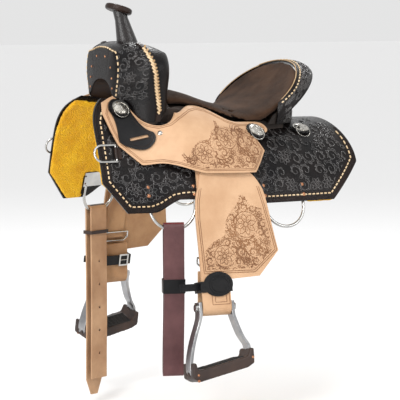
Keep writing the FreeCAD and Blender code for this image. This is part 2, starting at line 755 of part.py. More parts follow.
def horn_cap():
    """Leather-bound cap of the horn."""
    half = HORN_CAP_THICK / 2
    cap = cap_disc(HORN_CAP_RADIUS, -half, half)
    cap = cap.makeFillet(HORN_CAP_THICK * 0.4, cap.Edges[:1] + cap.Edges[2:3])
    return cap.cut(horn_cylinder(HORN_POST_RADIUS + 0.1, 0, 120).cut(cap_disc(90, half - 3.9, 90)))


# ---------------------------------------------------------------- fender assembly
# The fender's frame: local X runs rearward, Y up the leather and Z outward. Its origin
# is at the jockey's lower edge, on the fender's inner face.
def fender_frame():
    flare = math.radians(FENDER_FLARE)
    toe = math.radians(FENDER_TOE)
    out = V(math.cos(flare) * math.cos(toe), -math.cos(flare) * math.sin(toe), math.sin(flare))
    rear = V(math.sin(toe), math.cos(toe), 0)
    up = out.cross(rear)
    origin = V(FENDER_STAND, -20, -JOCKEY_DROP)
    matrix = FreeCAD.Matrix(rear.x, up.x, out.x, origin.x, rear.y, up.y, out.y, origin.y,
                            rear.z, up.z, out.z, origin.z, 0, 0, 0, 1)
    return FreeCAD.Placement(matrix)


def flat_piece(runs, z0, z1):
    """A flat piece in the fender's frame; a run of two points is straight, more are smooth."""
    edges = []
    for run in runs:
        points = [V(x, y, z0) for x, y in run]
        if len(points) == 2:
            edges.append(Part.makeLine(*points))
        else:
            edges.append(smooth(points))
    return Part.Face(Part.Wire(edges)).extrude(V(0, 0, z1 - z0))


TAIL_LEFT = TAIL_CENTRE - TAIL_WIDTH / 2
TAIL_RIGHT = TAIL_CENTRE + TAIL_WIDTH / 2
STRAP_LEFT = TAIL_CENTRE - STRAP_WIDTH / 2
STRAP_RIGHT = TAIL_CENTRE + STRAP_WIDTH / 2
FENDER_TOP = 8              # above the jockey's edge, hidden under the jockey
ROLLER_BACK = -(ROLLER_RADIUS + FIT)    # the roller's centre, behind the fender's inner face


def leather_top():
    """Top of the fender and its stirrup leather, between jockey and skirt."""
    hinge = -FENDER_HINGE
    blade = flat_piece([
        [(-64, hinge), (-58, 0), (-50, FENDER_TOP)],
        [(-50, FENDER_TOP), (26, FENDER_TOP)],
        [(26, FENDER_TOP), (57, 0), (83, hinge)],
        [(83, hinge), (-64, hinge)]], 0, FENDER_THICK)
    strap = box(STRAP_LEFT, STRAP_RIGHT, hinge, FENDER_TOP, -STRAP_THICK, 0)
    return blade.fuse(strap).removeSplitter()


def fender():
    """Fender blade with its tail, which passes round the stirrup's roller and back up."""
    top = -FENDER_HINGE - FIT
    low = -FENDER_LENGTH
    blade = flat_piece([
        [(-64.3, top), (-72, -58), (-75, -100), (-74, -152), (TAIL_LEFT, low)],
        [(TAIL_LEFT, low), (TAIL_RIGHT + 12, low - 3)],
        [(TAIL_RIGHT + 12, low - 3), (65, low)],
        [(65, low), (114, -177)],
        [(114, -177), (102, -112), (93, -61), (83.2, top)],
        [(83.2, top), (-64.3, top)]], 0, FENDER_THICK)
    bolt = -LEATHER_LENGTH
    outer = box(TAIL_LEFT, TAIL_RIGHT, bolt, low + 2, 0, FENDER_THICK)
    axis = V(TAIL_LEFT, bolt, ROLLER_BACK)
    inside = ROLLER_RADIUS + FIT
    turn = Part.makeCylinder(inside + FENDER_THICK, TAIL_WIDTH, axis, V(1, 0, 0))
    turn = turn.cut(Part.makeCylinder(inside, TAIL_WIDTH, axis, V(1, 0, 0)))
    lean = math.radians(TAIL_LEAN)
    reach = [V(0, 0, 0), V(0, 0, 60), V(0, -60, 60), V(0, -60, -60), V(0, 60 * math.tan(lean), -60)]
    corners = [axis + p for p in reach]
    sector = Part.Face(Part.makePolygon(corners + corners[:1])).extrude(V(TAIL_WIDTH, 0, 0))
    turn = turn.common(sector)
    corners = []
    for radius in (inside, inside + FENDER_THICK):
        start = axis + V(0, math.sin(lean), -math.cos(lean)) * radius
        length = (TAIL_END - start.y) / math.cos(lean)
        corners.append((start, start + V(0, math.cos(lean), math.sin(lean)) * length))
    ply = [corners[0][0], corners[0][1], corners[1][1], corners[1][0], corners[0][0]]
    rear = Part.Face(Part.makePolygon(ply)).extrude(V(TAIL_WIDTH, 0, 0))
    return blade.fuse([outer, turn, rear]).removeSplitter()


TAIL_LEAN = 12              # degrees that the tail's inner ply leans back to the leathers
TAIL_END = -213             # where the tail ends, on the inner side


def stirrup_leather():
    """Stirrup leather on the inner side of the fender, down to its buckle."""
    return box(STRAP_LEFT, STRAP_RIGHT, -200, -FENDER_HINGE - FIT, -STRAP_THICK - FIT, -FIT)


def leather_buckle():
    """Rounded steel buckle that joins the stirrup leather and the fender's tail."""
    half, top, low = 35, -184, -206
    z = -STRAP_THICK - 2.6
    a, b, c, d = V(-half, top, z), V(-half, low + 9, z), V(half, low + 9, z), V(half, top, z)
    e, f = V(-half + 10, low, z), V(half - 10, low, z)
    path = Part.Wire([Part.makeLine(a, b), Part.makeLine(b, e), Part.makeLine(e, f),
                      Part.makeLine(f, c), Part.makeLine(c, d)])
    ring = Part.Wire(Part.makeCircle(2, a, V(0, 1, 0)))
    rod = path.makePipeShell([ring], True, False, 2)
    bar = Part.makeCylinder(2, 2 * half, V(-half, top, z), V(1, 0, 0))
    shape = rod.fuse(bar)
    shape.translate(V(TAIL_CENTRE, 0, 0))
    return shape


HOBBLE_MIDDLE = -249
HOBBLE_HEIGHT = 24
HOBBLE_BACK = -28           # inner side of the strap's ring, behind the fender's inner face


def hobble_strap():
    """Hobble strap round the leathers, with a blank oval badge in front and a free end."""
    y0 = HOBBLE_MIDDLE - HOBBLE_HEIGHT / 2
    y1 = HOBBLE_MIDDLE + HOBBLE_HEIGHT / 2
    left, right = TAIL_LEFT - 1.0, TAIL_RIGHT + 1.0
    front, back = FENDER_THICK + FIT, HOBBLE_BACK
    ring = box(left - 3, right + 3, y0, y1, back - 3, front + 3)
    ring = ring.cut(box(left, right, y0 - 1, y1 + 1, back, front))
    badge = Part.makeCylinder(1, 3, V(0, 0, front))
    scale = FreeCAD.Matrix()
    scale.scale(34, 27, 1)
    badge = badge.transformGeometry(scale)
    badge.translate(V(TAIL_CENTRE + 5, HOBBLE_MIDDLE + 5, 0))
    free = box(left - 46, left, HOBBLE_MIDDLE - 7, HOBBLE_MIDDLE + 9, -6, -3)
    return ring.fuse([badge, free]).removeSplitter()


def hobble_buckle():
    """Small square roller buckle on the inner side of the hobble strap."""
    z = HOBBLE_BACK - 3 - FIT - 1.2
    frame = box(-13, 13, -15, 15, z - 1.2, z + 1.2).cut(box(-9, 9, -11, 11, z - 2, z + 2))
    tongue = Part.makeCylinder(1.1, 22, V(-11, 0, z), V(1, 0, 0))
    shape = frame.fuse(tongue)
    shape.translate(V(TAIL_CENTRE + 16, HOBBLE_MIDDLE, 0))
    return shape


# ---------------------------------------------------------------- stirrups
EAR_GAP = 1.5               # between the leather's edge and the stirrup's ear


def side_line(offset, side, lean=0.0):
    """One side bar's line, in the fender's frame, measured from the bolt."""
    top = TAIL_WIDTH / 2 + EAR_GAP + offset
    wide = STIRRUP_INSIDE_WIDTH / 2 + offset
    low = -STIRRUP_HEIGHT + lean
    return [V(side * top, 12, 0), V(side * top, -14, 0), V(side * (top + 5), -34, 0),
            V(side * (top + (wide - top) * 0.62), -68, 0), V(side * wide, low + 30, 0),
            V(side * wide, low, 0)]


def stirrup_frame(grow=0.0):
    """Bell-shaped flat-bar frame: two sides and the tread bar, drilled for the bolt."""
    t = STIRRUP_BAR_THICK + grow
    rise = TREAD_RISE / 2
    inner_l, outer_l = side_line(-grow, -1, grow - rise), side_line(t, -1, grow - rise)
    inner_r, outer_r = side_line(-grow, 1, grow + rise), side_line(t, 1, grow + rise)
    down = V(0, -t - grow, 0)
    edges = [smooth(outer_l), Part.makeLine(outer_l[-1], outer_l[-1] + down),
             Part.makeLine(outer_l[-1] + down, outer_r[-1] + down),
             Part.makeLine(outer_r[-1] + down, outer_r[-1]), smooth(outer_r[::-1]),
             Part.makeLine(outer_r[0], inner_r[0]), smooth(inner_r),
             Part.makeLine(inner_r[-1], inner_l[-1]), smooth(inner_l[::-1]),
             Part.makeLine(inner_l[0], outer_l[0])]
    half = STIRRUP_BAR_WIDTH / 2 + grow
    frame = Part.Face(Part.Wire(edges)).extrude(V(0, 0, 2 * half))
    frame.translate(V(0, 0, -half))
    bore = Part.makeCylinder(BOLT_RADIUS + 0.1, 200, V(-100, 0, 0), V(1, 0, 0))
    return to_bolt(frame.cut(bore))


def to_bolt(shape):
    """Move a stirrup piece from the bolt's centre to its place below the fender."""
    moved = shape.copy()
    moved.translate(V(TAIL_CENTRE, -LEATHER_LENGTH, ROLLER_BACK))
    return moved


TREAD_ABOVE = 5
TREAD_BELOW = 20


def stirrup_tread():
    """Leather-wrapped tread with a rubber top, built round the tread bar."""
    rise = TREAD_RISE / 2
    wide = STIRRUP_INSIDE_WIDTH / 2 + STIRRUP_BAR_THICK + 2
    low = -STIRRUP_HEIGHT
    t = STIRRUP_BAR_THICK
    half = TREAD_WIDTH / 2
    points = [(-wide, low - rise + 22), (-wide, low - rise - t - 4), (-wide + 16, low - rise - TREAD_BELOW),
              (wide - 16, low + rise - TREAD_BELOW), (wide, low + rise - t - 4), (wide, low + rise + 22),
              (wide - 9, low + rise + 22), (wide - 14, low + rise + TREAD_ABOVE),
              (-wide + 14, low - rise + TREAD_ABOVE), (-wide + 9, low - rise + 22)]
    corners = [V(x, y, -half) for x, y in points]
    block = Part.Face(Part.makePolygon(corners + corners[:1])).extrude(V(0, 0, 2 * half))
    return to_bolt(block).cut(stirrup_frame(FIT / 2))


def stirrup_bolt():
    """Bolt through the stirrup's ears, with its head, nut and the leather's roller."""
    reach = TAIL_WIDTH / 2 + EAR_GAP + STIRRUP_BAR_THICK + 0.2
    shank = Part.makeCylinder(BOLT_RADIUS, 2 * reach + 6, V(-reach, 0, 0), V(1, 0, 0))
    head = Part.makeCylinder(8, 5, V(-reach - 5, 0, 0), V(1, 0, 0))
    nut = Part.makeCylinder(7.5, 6, V(reach, 0, 0), V(1, 0, 0))
    half = TAIL_WIDTH / 2
    roller = Part.makeCylinder(ROLLER_RADIUS, TAIL_WIDTH, V(-half, 0, 0), V(1, 0, 0))
    roller = roller.cut(Part.makeCylinder(BOLT_RADIUS + 0.1, TAIL_WIDTH, V(-half, 0, 0), V(1, 0, 0)))
    return to_bolt(shank.fuse([head, nut])), to_bolt(roller)


# ---------------------------------------------------------------- latigo and billet
STRAP_HANG_THICK = 4


def dee_frame():
    """Placement at the lowest stretch of the near front dee: X outward, Y rearward, Z up."""
    y, z = DEE_PLACES[0]
    frame = seat_frame(SKIRT, y, z)
    low = frame.multVec(V(0, -DEE_LEG - DEE_HALF, PLATE_IN + PLATE_THICK / 2))
    rear = frame.multVec(V(1, 0, 0)) - frame.multVec(V(0, 0, 0))
    matrix = FreeCAD.Matrix(rear.y, rear.x, 0, low.x, -rear.x, rear.y, 0, low.y,
                            0, 0, 1, low.z, 0, 0, 0, 1)
    return FreeCAD.Placement(matrix)


LOOP_INSIDE = DEE_ROD + 3
LOOP_OUTSIDE = LOOP_INSIDE + STRAP_HANG_THICK
LOOP_RISE = 5.6             # the strap bears on the dee's curve, above its lowest point


def strap_bend(half, height, up):
    """The half round where a strap turns back on itself."""
    bend = Part.makeCylinder(LOOP_OUTSIDE, 2 * half, V(0, -half, height), V(0, 1, 0))
    bend = bend.cut(Part.makeCylinder(LOOP_INSIDE, 2 * half, V(0, -half, height), V(0, 1, 0)))
    low, high = (height, height + 50) if up else (height - 50, height)
    return bend.common(box(-50, 50, -100, 100, low, high))


def latigo_strap():
    """Latigo hung on the near front dee: a long loop of one strap."""
    frame = dee_frame()
    half = LATIGO_WIDTH / 2
    low = -LATIGO_DROP - frame.Base.z + LOOP_OUTSIDE
    plies = [box(a, b, -half, half, low, LOOP_RISE)
             for a, b in ((LOOP_INSIDE, LOOP_OUTSIDE), (-LOOP_OUTSIDE, -LOOP_INSIDE))]
    shape = strap_bend(half, LOOP_RISE, True).fuse(plies + [strap_bend(half, low, False)])
    return placed(shape.removeSplitter(), frame)


KEEPER_DROP = 301


def strap_ring(width, thick, height):
    """A keeper round both plies of a hanging strap."""
    outer = LOOP_OUTSIDE + FIT
    w = width / 2 + FIT
    ring = box(-outer - thick, outer + thick, -w - thick, w + thick, -height, 0)
    return ring.cut(box(-outer, outer, -w, w, -height - 1, 1))


def latigo_keeper():
    """Leather keeper that slides on the latigo."""
    frame = dee_frame()
    ring = strap_ring(LATIGO_WIDTH, 2, 31)
    ring.translate(V(0, 0, -KEEPER_DROP - frame.Base.z))
    return placed(ring, frame)


def off_billet():
    """Off billet: one ply doubled over the off front dee, punched along its length."""
    frame = dee_frame()
    half = BILLET_WIDTH / 2
    low = -BILLET_DROP - frame.Base.z
    short = box(-LOOP_OUTSIDE, -LOOP_INSIDE, -half, half, low + 42, LOOP_RISE)
    tip = [V(LOOP_INSIDE, y, z) for y, z in ((-half, LOOP_RISE), (half, LOOP_RISE),
                                             (half, low + 38), (10, low), (-10, low),
                                             (-half, low + 38))]
    long_ply = Part.Face(Part.makePolygon(tip + tip[:1])).extrude(V(STRAP_HANG_THICK, 0, 0))
    shape = strap_bend(half, LOOP_RISE, True).fuse([short, long_ply]).removeSplitter()
    for i in range(BILLET_HOLES):
        z = -BILLET_FIRST_HOLE - i * BILLET_HOLE_SPACING
        shape = shape.cut(Part.makeCylinder(BILLET_HOLE_RADIUS, 60, V(-30, 0, z), V(1, 0, 0)))
    return mirrored(placed(shape, frame))


BILLET_FIRST_HOLE = 120


def billet_tie():
    """Lace tied round both plies of the billet below the dee."""
    knot = Part.makeSphere(7, V(LOOP_OUTSIDE + 8.5, 0, -4))
    shape = strap_ring(BILLET_WIDTH, 3, 8).fuse(knot)
    shape.translate(V(0, 0, -46))
    return mirrored(placed(shape, dee_frame()))


# ---------------------------------------------------------------- write every piece
def main():
    os.makedirs("parts", exist_ok=True)
    save_pair("skirt", skirt())
    save_pair("skirt_lining", lining())
    save_pair("rigging_dees", *rigging_dees())
    save_pair("rigging_rivets", *rivets())
    save_pair("breast_dee", breast_dee())
    save_pair("dee_keeper", dee_keeper())
    save_pair("jockey", jockey())
    save_pair("latigo_holder", latigo_holder())
    save_both("rosettes", *concho_set(rosette(), 0))
    save_both("conchos", *concho_set(concho(), 3 + FIT / 3))
    save_both("jockey_screws", jockey_screw())
    save("seat_pad", seat_pad())
    save("ground_seat", ground_seat())
    save("tree_cantle", cantle_block())
    save("cantle_back", cantle_back())
    save("cantle_roll", cantle_roll())
    save_pair("tree_bar", tree_bar())
    save("tree_fork", tree_fork())
    save("swell_cover", swell_cover())
    save("gullet_liner", gullet_liner())
    save_pair("swell_lacing", swell_lacing())
    save("horn_post", horn_post())
    save("horn_neck_wrap", horn_neck())
    save("horn_cap", horn_cap())
    frame = fender_frame()
    save_pair("leather_top", placed(leather_top(), frame))
    save_pair("fender", placed(fender(), frame))
    save_pair("stirrup_leather", placed(stirrup_leather(), frame))
    save_pair("leather_buckle", placed(leather_buckle(), frame))
    save_pair("hobble_strap", placed(hobble_strap(), frame))
    save_pair("hobble_buckle", placed(hobble_buckle(), frame))
    save_pair("stirrup_frame", placed(stirrup_frame(), frame))
    save_pair("stirrup_tread", placed(stirrup_tread(), frame))
    bolt, roller = stirrup_bolt()
    save_pair("stirrup_bolt", placed(bolt, frame))
    save_pair("stirrup_roller", placed(roller, frame))
    save("latigo", latigo_strap())
    save("latigo_keeper", latigo_keeper())
    save("off_billet", off_billet())
    save("billet_tie", billet_tie())


main()
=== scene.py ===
import bpy
import bmesh
import json
import math
import random
from mathutils import Vector, Matrix
from mathutils.bvhtree import BVHTree


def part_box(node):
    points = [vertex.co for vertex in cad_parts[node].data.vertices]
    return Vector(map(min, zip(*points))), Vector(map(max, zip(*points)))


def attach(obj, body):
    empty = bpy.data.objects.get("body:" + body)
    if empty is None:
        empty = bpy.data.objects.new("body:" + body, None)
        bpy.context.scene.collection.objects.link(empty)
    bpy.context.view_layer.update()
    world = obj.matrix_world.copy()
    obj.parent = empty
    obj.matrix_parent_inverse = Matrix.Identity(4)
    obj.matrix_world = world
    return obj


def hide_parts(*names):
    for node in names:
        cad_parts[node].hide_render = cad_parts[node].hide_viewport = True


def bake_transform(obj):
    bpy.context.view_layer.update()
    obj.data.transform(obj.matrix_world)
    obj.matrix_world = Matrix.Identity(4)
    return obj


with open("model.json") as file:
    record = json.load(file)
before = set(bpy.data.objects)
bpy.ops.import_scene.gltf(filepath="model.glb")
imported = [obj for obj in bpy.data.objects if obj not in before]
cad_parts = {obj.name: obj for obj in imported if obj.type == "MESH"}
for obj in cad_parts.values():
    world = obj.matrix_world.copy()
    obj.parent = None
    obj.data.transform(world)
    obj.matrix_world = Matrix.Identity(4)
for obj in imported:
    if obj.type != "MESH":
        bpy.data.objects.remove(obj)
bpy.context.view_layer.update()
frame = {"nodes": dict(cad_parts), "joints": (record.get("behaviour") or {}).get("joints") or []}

# ---- Studio
# A pale floor, a soft key from the front left, a wide fill and a rim light, and a long lens
# at about six degrees above the saddle's near side.
scene = bpy.context.scene
lens = bpy.data.cameras.new("studio_lens")
lens.lens = 155.6
lens.sensor_width = 36.0
lens.clip_end = 100.0
camera = bpy.data.objects.new("studio_camera", lens)
scene.collection.objects.link(camera)
camera.location = (3.539, -1.851, 0.287)
TURN, DROP = math.radians(28.1), math.radians(6.3)
aim = Vector((-math.cos(TURN) * math.cos(DROP), math.sin(TURN) * math.cos(DROP), -math.sin(DROP)))
camera.rotation_euler = aim.to_track_quat("-Z", "Y").to_euler()
scene.camera = camera
scene.view_settings.view_transform = "Standard"

FLOOR_HEIGHT = -0.668       # clear of the billet's tip, the saddle's lowest point
bm = bmesh.new()
bmesh.ops.create_grid(bm, x_segments=1, y_segments=1, size=40.0)
bmesh.ops.translate(bm, vec=(0, 0, FLOOR_HEIGHT), verts=bm.verts)
floor_mesh = bpy.data.meshes.new("studio_floor")
bm.to_mesh(floor_mesh)
bm.free()
floor = bpy.data.objects.new("studio_floor", floor_mesh)
scene.collection.objects.link(floor)
paper = bpy.data.materials.new("studio_paper")
paper.use_nodes = True
paper.node_tree.nodes["Principled BSDF"].inputs["Base Color"].default_value = (0.8, 0.8, 0.8, 1)
paper.node_tree.nodes["Principled BSDF"].inputs["Roughness"].default_value = 0.9
floor_mesh.materials.append(paper)

world = bpy.data.worlds.new("studio_air")
world.use_nodes = True
world.node_tree.nodes["Background"].inputs["Color"].default_value = (1.0, 1.0, 1.0, 1)
world.node_tree.nodes["Background"].inputs["Strength"].default_value = 0.78
scene.world = world
for name, place, size, power in (("key", (2.4, -2.4, 2.4), 0.8, 80), ("fill", (3.0, 1.8, 1.2), 1.0, 24),
                                 ("rim", (-2.2, 1.2, 2.4), 0.8, 40),
                                 ("low", (1.2, -3.0, -0.1), 1.0, 30)):
    lamp = bpy.data.lights.new(name, "AREA")
    lamp.size = size
    lamp.energy = power
    light = bpy.data.objects.new(name, lamp)
    light.location = place
    light.rotation_euler = (-Vector(place)).to_track_quat("-Z", "Y").to_euler()
    scene.collection.objects.link(light)
sky = bpy.data.lights.new("soft_sky", "SUN")
sky.angle = math.radians(70)
sky.energy = 0.9
overhead = bpy.data.objects.new("soft_sky", sky)
overhead.rotation_euler = Vector((-0.5, 0.45, -1.0)).to_track_quat("-Z", "Y").to_euler()
scene.collection.objects.link(overhead)

# ---- Skirts
# Oiled skirting leather, nearly black, carved with running scrolls and leaves inside a
# stamped border, and buck-stitched with pale lace; the rigging is riveted through it.


def grain_group():
    """Leather grain: a cell pattern over soft mottling."""
    group = bpy.data.node_groups.new("leather_grain", "ShaderNodeTree")
    group.interface.new_socket("Scale", in_out="INPUT", socket_type="NodeSocketFloat")
    group.interface.new_socket("Height", in_out="OUTPUT", socket_type="NodeSocketFloat")
    group.interface.new_socket("Mottle", in_out="OUTPUT", socket_type="NodeSocketFloat")
    nodes, links = group.nodes, group.links
    start, end = nodes.new("NodeGroupInput"), nodes.new("NodeGroupOutput")
    place = nodes.new("ShaderNodeTexCoord")
    cells = nodes.new("ShaderNodeTexVoronoi")
    cells.feature = "DISTANCE_TO_EDGE"
    pores = nodes.new("ShaderNodeTexNoise")
    pores.inputs["Detail"].default_value = 4
    pores.inputs["Scale"].default_value = 900
    mottle = nodes.new("ShaderNodeTexNoise")
    mottle.inputs["Scale"].default_value = 14
    mottle.inputs["Detail"].default_value = 5
    mottle.inputs["Roughness"].default_value = 0.6
    for node in (cells, pores, mottle):
        links.new(place.outputs["Object"], node.inputs["Vector"])
    links.new(start.outputs["Scale"], cells.inputs["Scale"])
    ramp = nodes.new("ShaderNodeMapRange")
    ramp.inputs["From Max"].default_value = 0.25
    links.new(cells.outputs["Distance"], ramp.inputs["Value"])
    add = nodes.new("ShaderNodeMath")
    add.operation = "MULTIPLY_ADD"
    add.inputs[1].default_value = 0.6
    links.new(pores.outputs["Fac"], add.inputs[0])
    links.new(ramp.outputs["Result"], add.inputs[2])
    links.new(add.outputs[0], end.inputs["Height"])
    links.new(mottle.outputs["Fac"], end.inputs["Mottle"])
    return group


grain = grain_group()


def leather(name, dark, light, rough, grain_scale=420, depth=0.25, sheen=0.0, metal=0.0, shine=0.35):
    """A finish whose colour wanders between two tones, with grain in relief."""
    material = bpy.data.materials.new(name)
    material.use_nodes = True
    nodes, links = material.node_tree.nodes, material.node_tree.links
    shader = nodes["Principled BSDF"]
    group = nodes.new("ShaderNodeGroup")
    group.node_tree = grain
    group.inputs["Scale"].default_value = grain_scale
    tone = nodes.new("ShaderNodeValToRGB")
    tone.color_ramp.elements[0].position = 0.36
    tone.color_ramp.elements[1].position = 0.66
    tone.color_ramp.elements[0].color = (*dark, 1)
    tone.color_ramp.elements[1].color = (*light, 1)
    links.new(group.outputs["Mottle"], tone.inputs["Fac"])
    links.new(tone.outputs["Color"], shader.inputs["Base Color"])
    gloss = nodes.new("ShaderNodeMapRange")
    gloss.inputs["To Min"].default_value = rough - 0.08
    gloss.inputs["To Max"].default_value = rough + 0.1
    links.new(group.outputs["Mottle"], gloss.inputs["Value"])
    links.new(gloss.outputs["Result"], shader.inputs["Roughness"])
    bump = nodes.new("ShaderNodeBump")
    bump.inputs["Strength"].default_value = depth
    bump.inputs["Distance"].default_value = 0.0006
    links.new(group.outputs["Height"], bump.inputs["Height"])
    links.new(bump.outputs["Normal"], shader.inputs["Normal"])
    shader.inputs["Specular IOR Level"].default_value = 0.5 if metal else shine
    shader.inputs["Sheen Weight"].default_value = sheen
    shader.inputs["Metallic"].default_value = metal
    return material


dark_leather = leather("oiled_dark_leather", (0.003, 0.0027, 0.003), (0.009, 0.0065, 0.006), 0.27,
                       shine=0.18)
# Carved ridges on the dark leather: a lighter grey than the skirt itself, a painted highlight on the relief;
# they are also glossier.
relief = leather("ridge_painted_highlight", (0.012, 0.011, 0.011), (0.05, 0.044, 0.042), 0.24, shine=0.6)
dark_edge = leather("burnished_edge", (0.010, 0.006, 0.005), (0.026, 0.014, 0.010), 0.33, shine=0.2)
pale_lace = leather("pale_lace", (0.52, 0.36, 0.2), (0.72, 0.56, 0.36), 0.55, 700, 0.15)


def link_mesh(name, bm, material, body):
    """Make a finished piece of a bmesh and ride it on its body."""
    mesh = bpy.data.meshes.new(name)
    bm.to_mesh(mesh)
    bm.free()
    piece = bpy.data.objects.new(name, mesh)
    scene.collection.objects.link(piece)
    mesh.materials.append(material)
    if body:
        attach(piece, body)
    return piece


def merged(*nodes):
    """The CAD nodes' own mesh with its doubles merged."""
    bm = bmesh.new()
    for node in nodes:
        bm.from_mesh(frame["nodes"][node].data)
    bmesh.ops.remove_doubles(bm, verts=bm.verts, dist=0.00002)
    return bm


def soften(bm, angle=35.0):
    """Smooth faces, with an edge kept sharp where two faces meet at more than the angle."""
    limit = math.radians(angle)
    for face in bm.faces:
        face.smooth = True
    for edge in bm.edges:
        edge.smooth = len(edge.link_faces) == 2 and edge.calc_face_angle(0.0) < limit


def refinish(node, material, body="saddle", bevel=0.0, angle=35.0):
    """A smooth copy of a CAD node, its edges rounded over, that stands in its place."""
    bm = merged(node)
    soften(bm, angle)
    piece = link_mesh(node + "_finished", bm, material, body)
    if bevel:
        round_over = piece.modifiers.new("rounded_edges", "BEVEL")
        round_over.width = bevel
        round_over.segments = 2
        round_over.limit_method = "ANGLE"
        round_over.angle_limit = math.radians(50)
        round_over.harden_normals = False
    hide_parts(node)
    return piece


def dress(node, material):
    """Give a CAD node that stays its finish."""
    slots = frame["nodes"][node].data.materials
    slots.clear()
    slots.append(material)


class Hide:
    """A surface that pattern and stitches are laid on, seen square from one side."""

    def __init__(self, *nodes):
        bm = merged(*nodes)
        self.tree = BVHTree.FromBMesh(bm)
        bm.free()

    def at(self, y, z, side=1):
        """Point and outward normal under a place given in millimetres."""
        hit = self.tree.ray_cast(Vector((0.5 * side, y / 1000, z / 1000)), Vector((-side, 0, 0)))
        return (hit[0], hit[1]) if hit[0] is not None else None

    def towards(self, start, heart):
        """Point and outward normal that a line from the start towards the heart meets."""
        hit = self.tree.ray_cast(Vector(start), (Vector(heart) - Vector(start)).normalized())
        return (hit[0], hit[1]) if hit[0] is not None else None


def raised(name, runs, width, material, body, lift=0.1, taper=0.0):
    """Low ridges along runs of (point, normal) on a surface: carved lines, creases, stitches."""
    line = bpy.data.curves.new(name, "CURVE")
    line.dimensions = "3D"
    line.bevel_depth = width / 2
    line.bevel_resolution = 1
    line.use_fill_caps = True
    for run in runs:
        if len(run) < 2:
            continue
        spline = line.splines.new("POLY")
        spline.points.add(len(run) - 1)
        for i, (spot, normal) in enumerate(run):
            spline.points[i].co = (*(spot + normal * lift * width), 1)
            ends = math.sin(math.pi * i / (len(run) - 1))
            spline.points[i].radius = 1 - taper + taper * ends
    tube = bpy.data.objects.new(name + "_line", line)
    scene.collection.objects.link(tube)
    bpy.context.view_layer.update()
    mesh = bpy.data.meshes.new_from_object(tube.evaluated_get(bpy.context.evaluated_depsgraph_get()))
    bpy.data.objects.remove(tube)
    bm = bmesh.new()
    bm.from_mesh(mesh)
    bpy.data.meshes.remove(mesh)
    bmesh.ops.recalc_face_normals(bm, faces=bm.faces)
    for face in bm.faces:
        face.smooth = True
    return link_mesh(name, bm, material, body)


def lay(hide, lines, side=1):
    """Runs on a hide under flat (y, z) lines in millimetres, broken where the hide ends."""
    runs = []
    for line in lines:
        run = []
        for y, z in line:
            hit = hide.at(y, z, side)
            if hit is None or hit[1].x * side < 0.12:
                runs.append(run)
                run = []
            elif run and abs(hit[0].x - run[-1][0].x) > 0.006:
                runs.append(run)
                run = [hit]
            else:
                run.append(hit)
        runs.append(run)
    return [run for run in runs if len(run) > 1]


def along(points, step, closed=False):
    """Even points along a line through the given corners."""
    if closed:
        points = list(points) + [points[0]]
    out = [points[0]]
    left = step
    for a, b in zip(points, points[1:]):
        length = math.dist(a, b)
        place = left
        while place <= length:
            t = place / length
            out.append((a[0] + (b[0] - a[0]) * t, a[1] + (b[1] - a[1]) * t))
            place += step
        left = place - length
    return out


def inset(points, gap):
    """A closed outline drawn in by a gap; outlines run clockwise seen from the near side."""
    out = []
    count = len(points)
    for i, p in enumerate(points):
        a, b = points[i - 1], points[(i + 1) % count]
        u = ((p[0] - a[0]), (p[1] - a[1]))
        v = ((b[0] - p[0]), (b[1] - p[1]))
        lu, lv = math.hypot(*u) or 1, math.hypot(*v) or 1
        n1, n2 = (-u[1] / lu, u[0] / lu), (-v[1] / lv, v[0] / lv)
        nx, ny = n1[0] + n2[0], n1[1] + n2[1]
        size = max(0.5, (nx * nx + ny * ny) / 2)
        out.append((p[0] + nx * gap / size, p[1] + ny * gap / size))
    return out


def inside(point, outline):
    """Whether a place lies within a closed outline."""
    x, y = point
    odd = False
    for (x0, y0), (x1, y1) in zip(outline, outline[1:] + outline[:1]):
        if (y0 > y) != (y1 > y) and x < (x1 - x0) * (y - y0) / (y1 - y0) + x0:
            odd = not odd
    return odd


def scroll(cy, cz, radius, start, hand, turns=1.35):
    """A carved scroll that winds in to its eye."""
    steps = 26
    return [(cy + radius * (1 - 0.82 * i / steps) * math.cos(start + hand * turns * 2 * math.pi * i / steps),
             cz + radius * (1 - 0.82 * i / steps) * math.sin(start + hand * turns * 2 * math.pi * i / steps))
            for i in range(steps + 1)]


def acanthus(cy, cz, radius, start, hand, lobes=6):
    """A carved scroll whose outer edge breaks into rounded lobes, each with its vein."""
    lines = [scroll(cy, cz, radius, start, hand)]
    for k in range(lobes):
        first = start + hand * k * 0.78
        base = radius * (1.02 - 0.085 * k)
        lobe = []
        for i in range(7):
            t = i / 6
            reach = base * (1 + 0.4 * math.sin(math.pi * t) ** 0.7)
            lobe.append((cy + reach * math.cos(first + hand * 0.78 * t),
                         cz + reach * math.sin(first + hand * 0.78 * t)))
        vein = [(cy + base * q * math.cos(first + hand * (0.38 + 0.5 * (1.25 - q))),
                 cz + base * q * math.sin(first + hand * (0.38 + 0.5 * (1.25 - q))))
                for q in (1.25, 1.12, 1.0, 0.86)]
        lines += [lobe, vein]
    return lines


def petal(y, z, angle, length, width, bend=0.0):
    """A pointed petal or leaf finger: its two edges, from the base to the tip."""
    edges = []
    for share in (-1, 1):
        edge = []
        for i in range(9):
            t = i / 8
            off = share * width * 0.5 * math.sin(math.pi * t ** 0.75) + bend * length * t * t
            edge.append((y + length * t * math.cos(angle) - off * math.sin(angle),
                         z + length * t * math.sin(angle) + off * math.cos(angle)))
        edges.append(edge)
    return edges


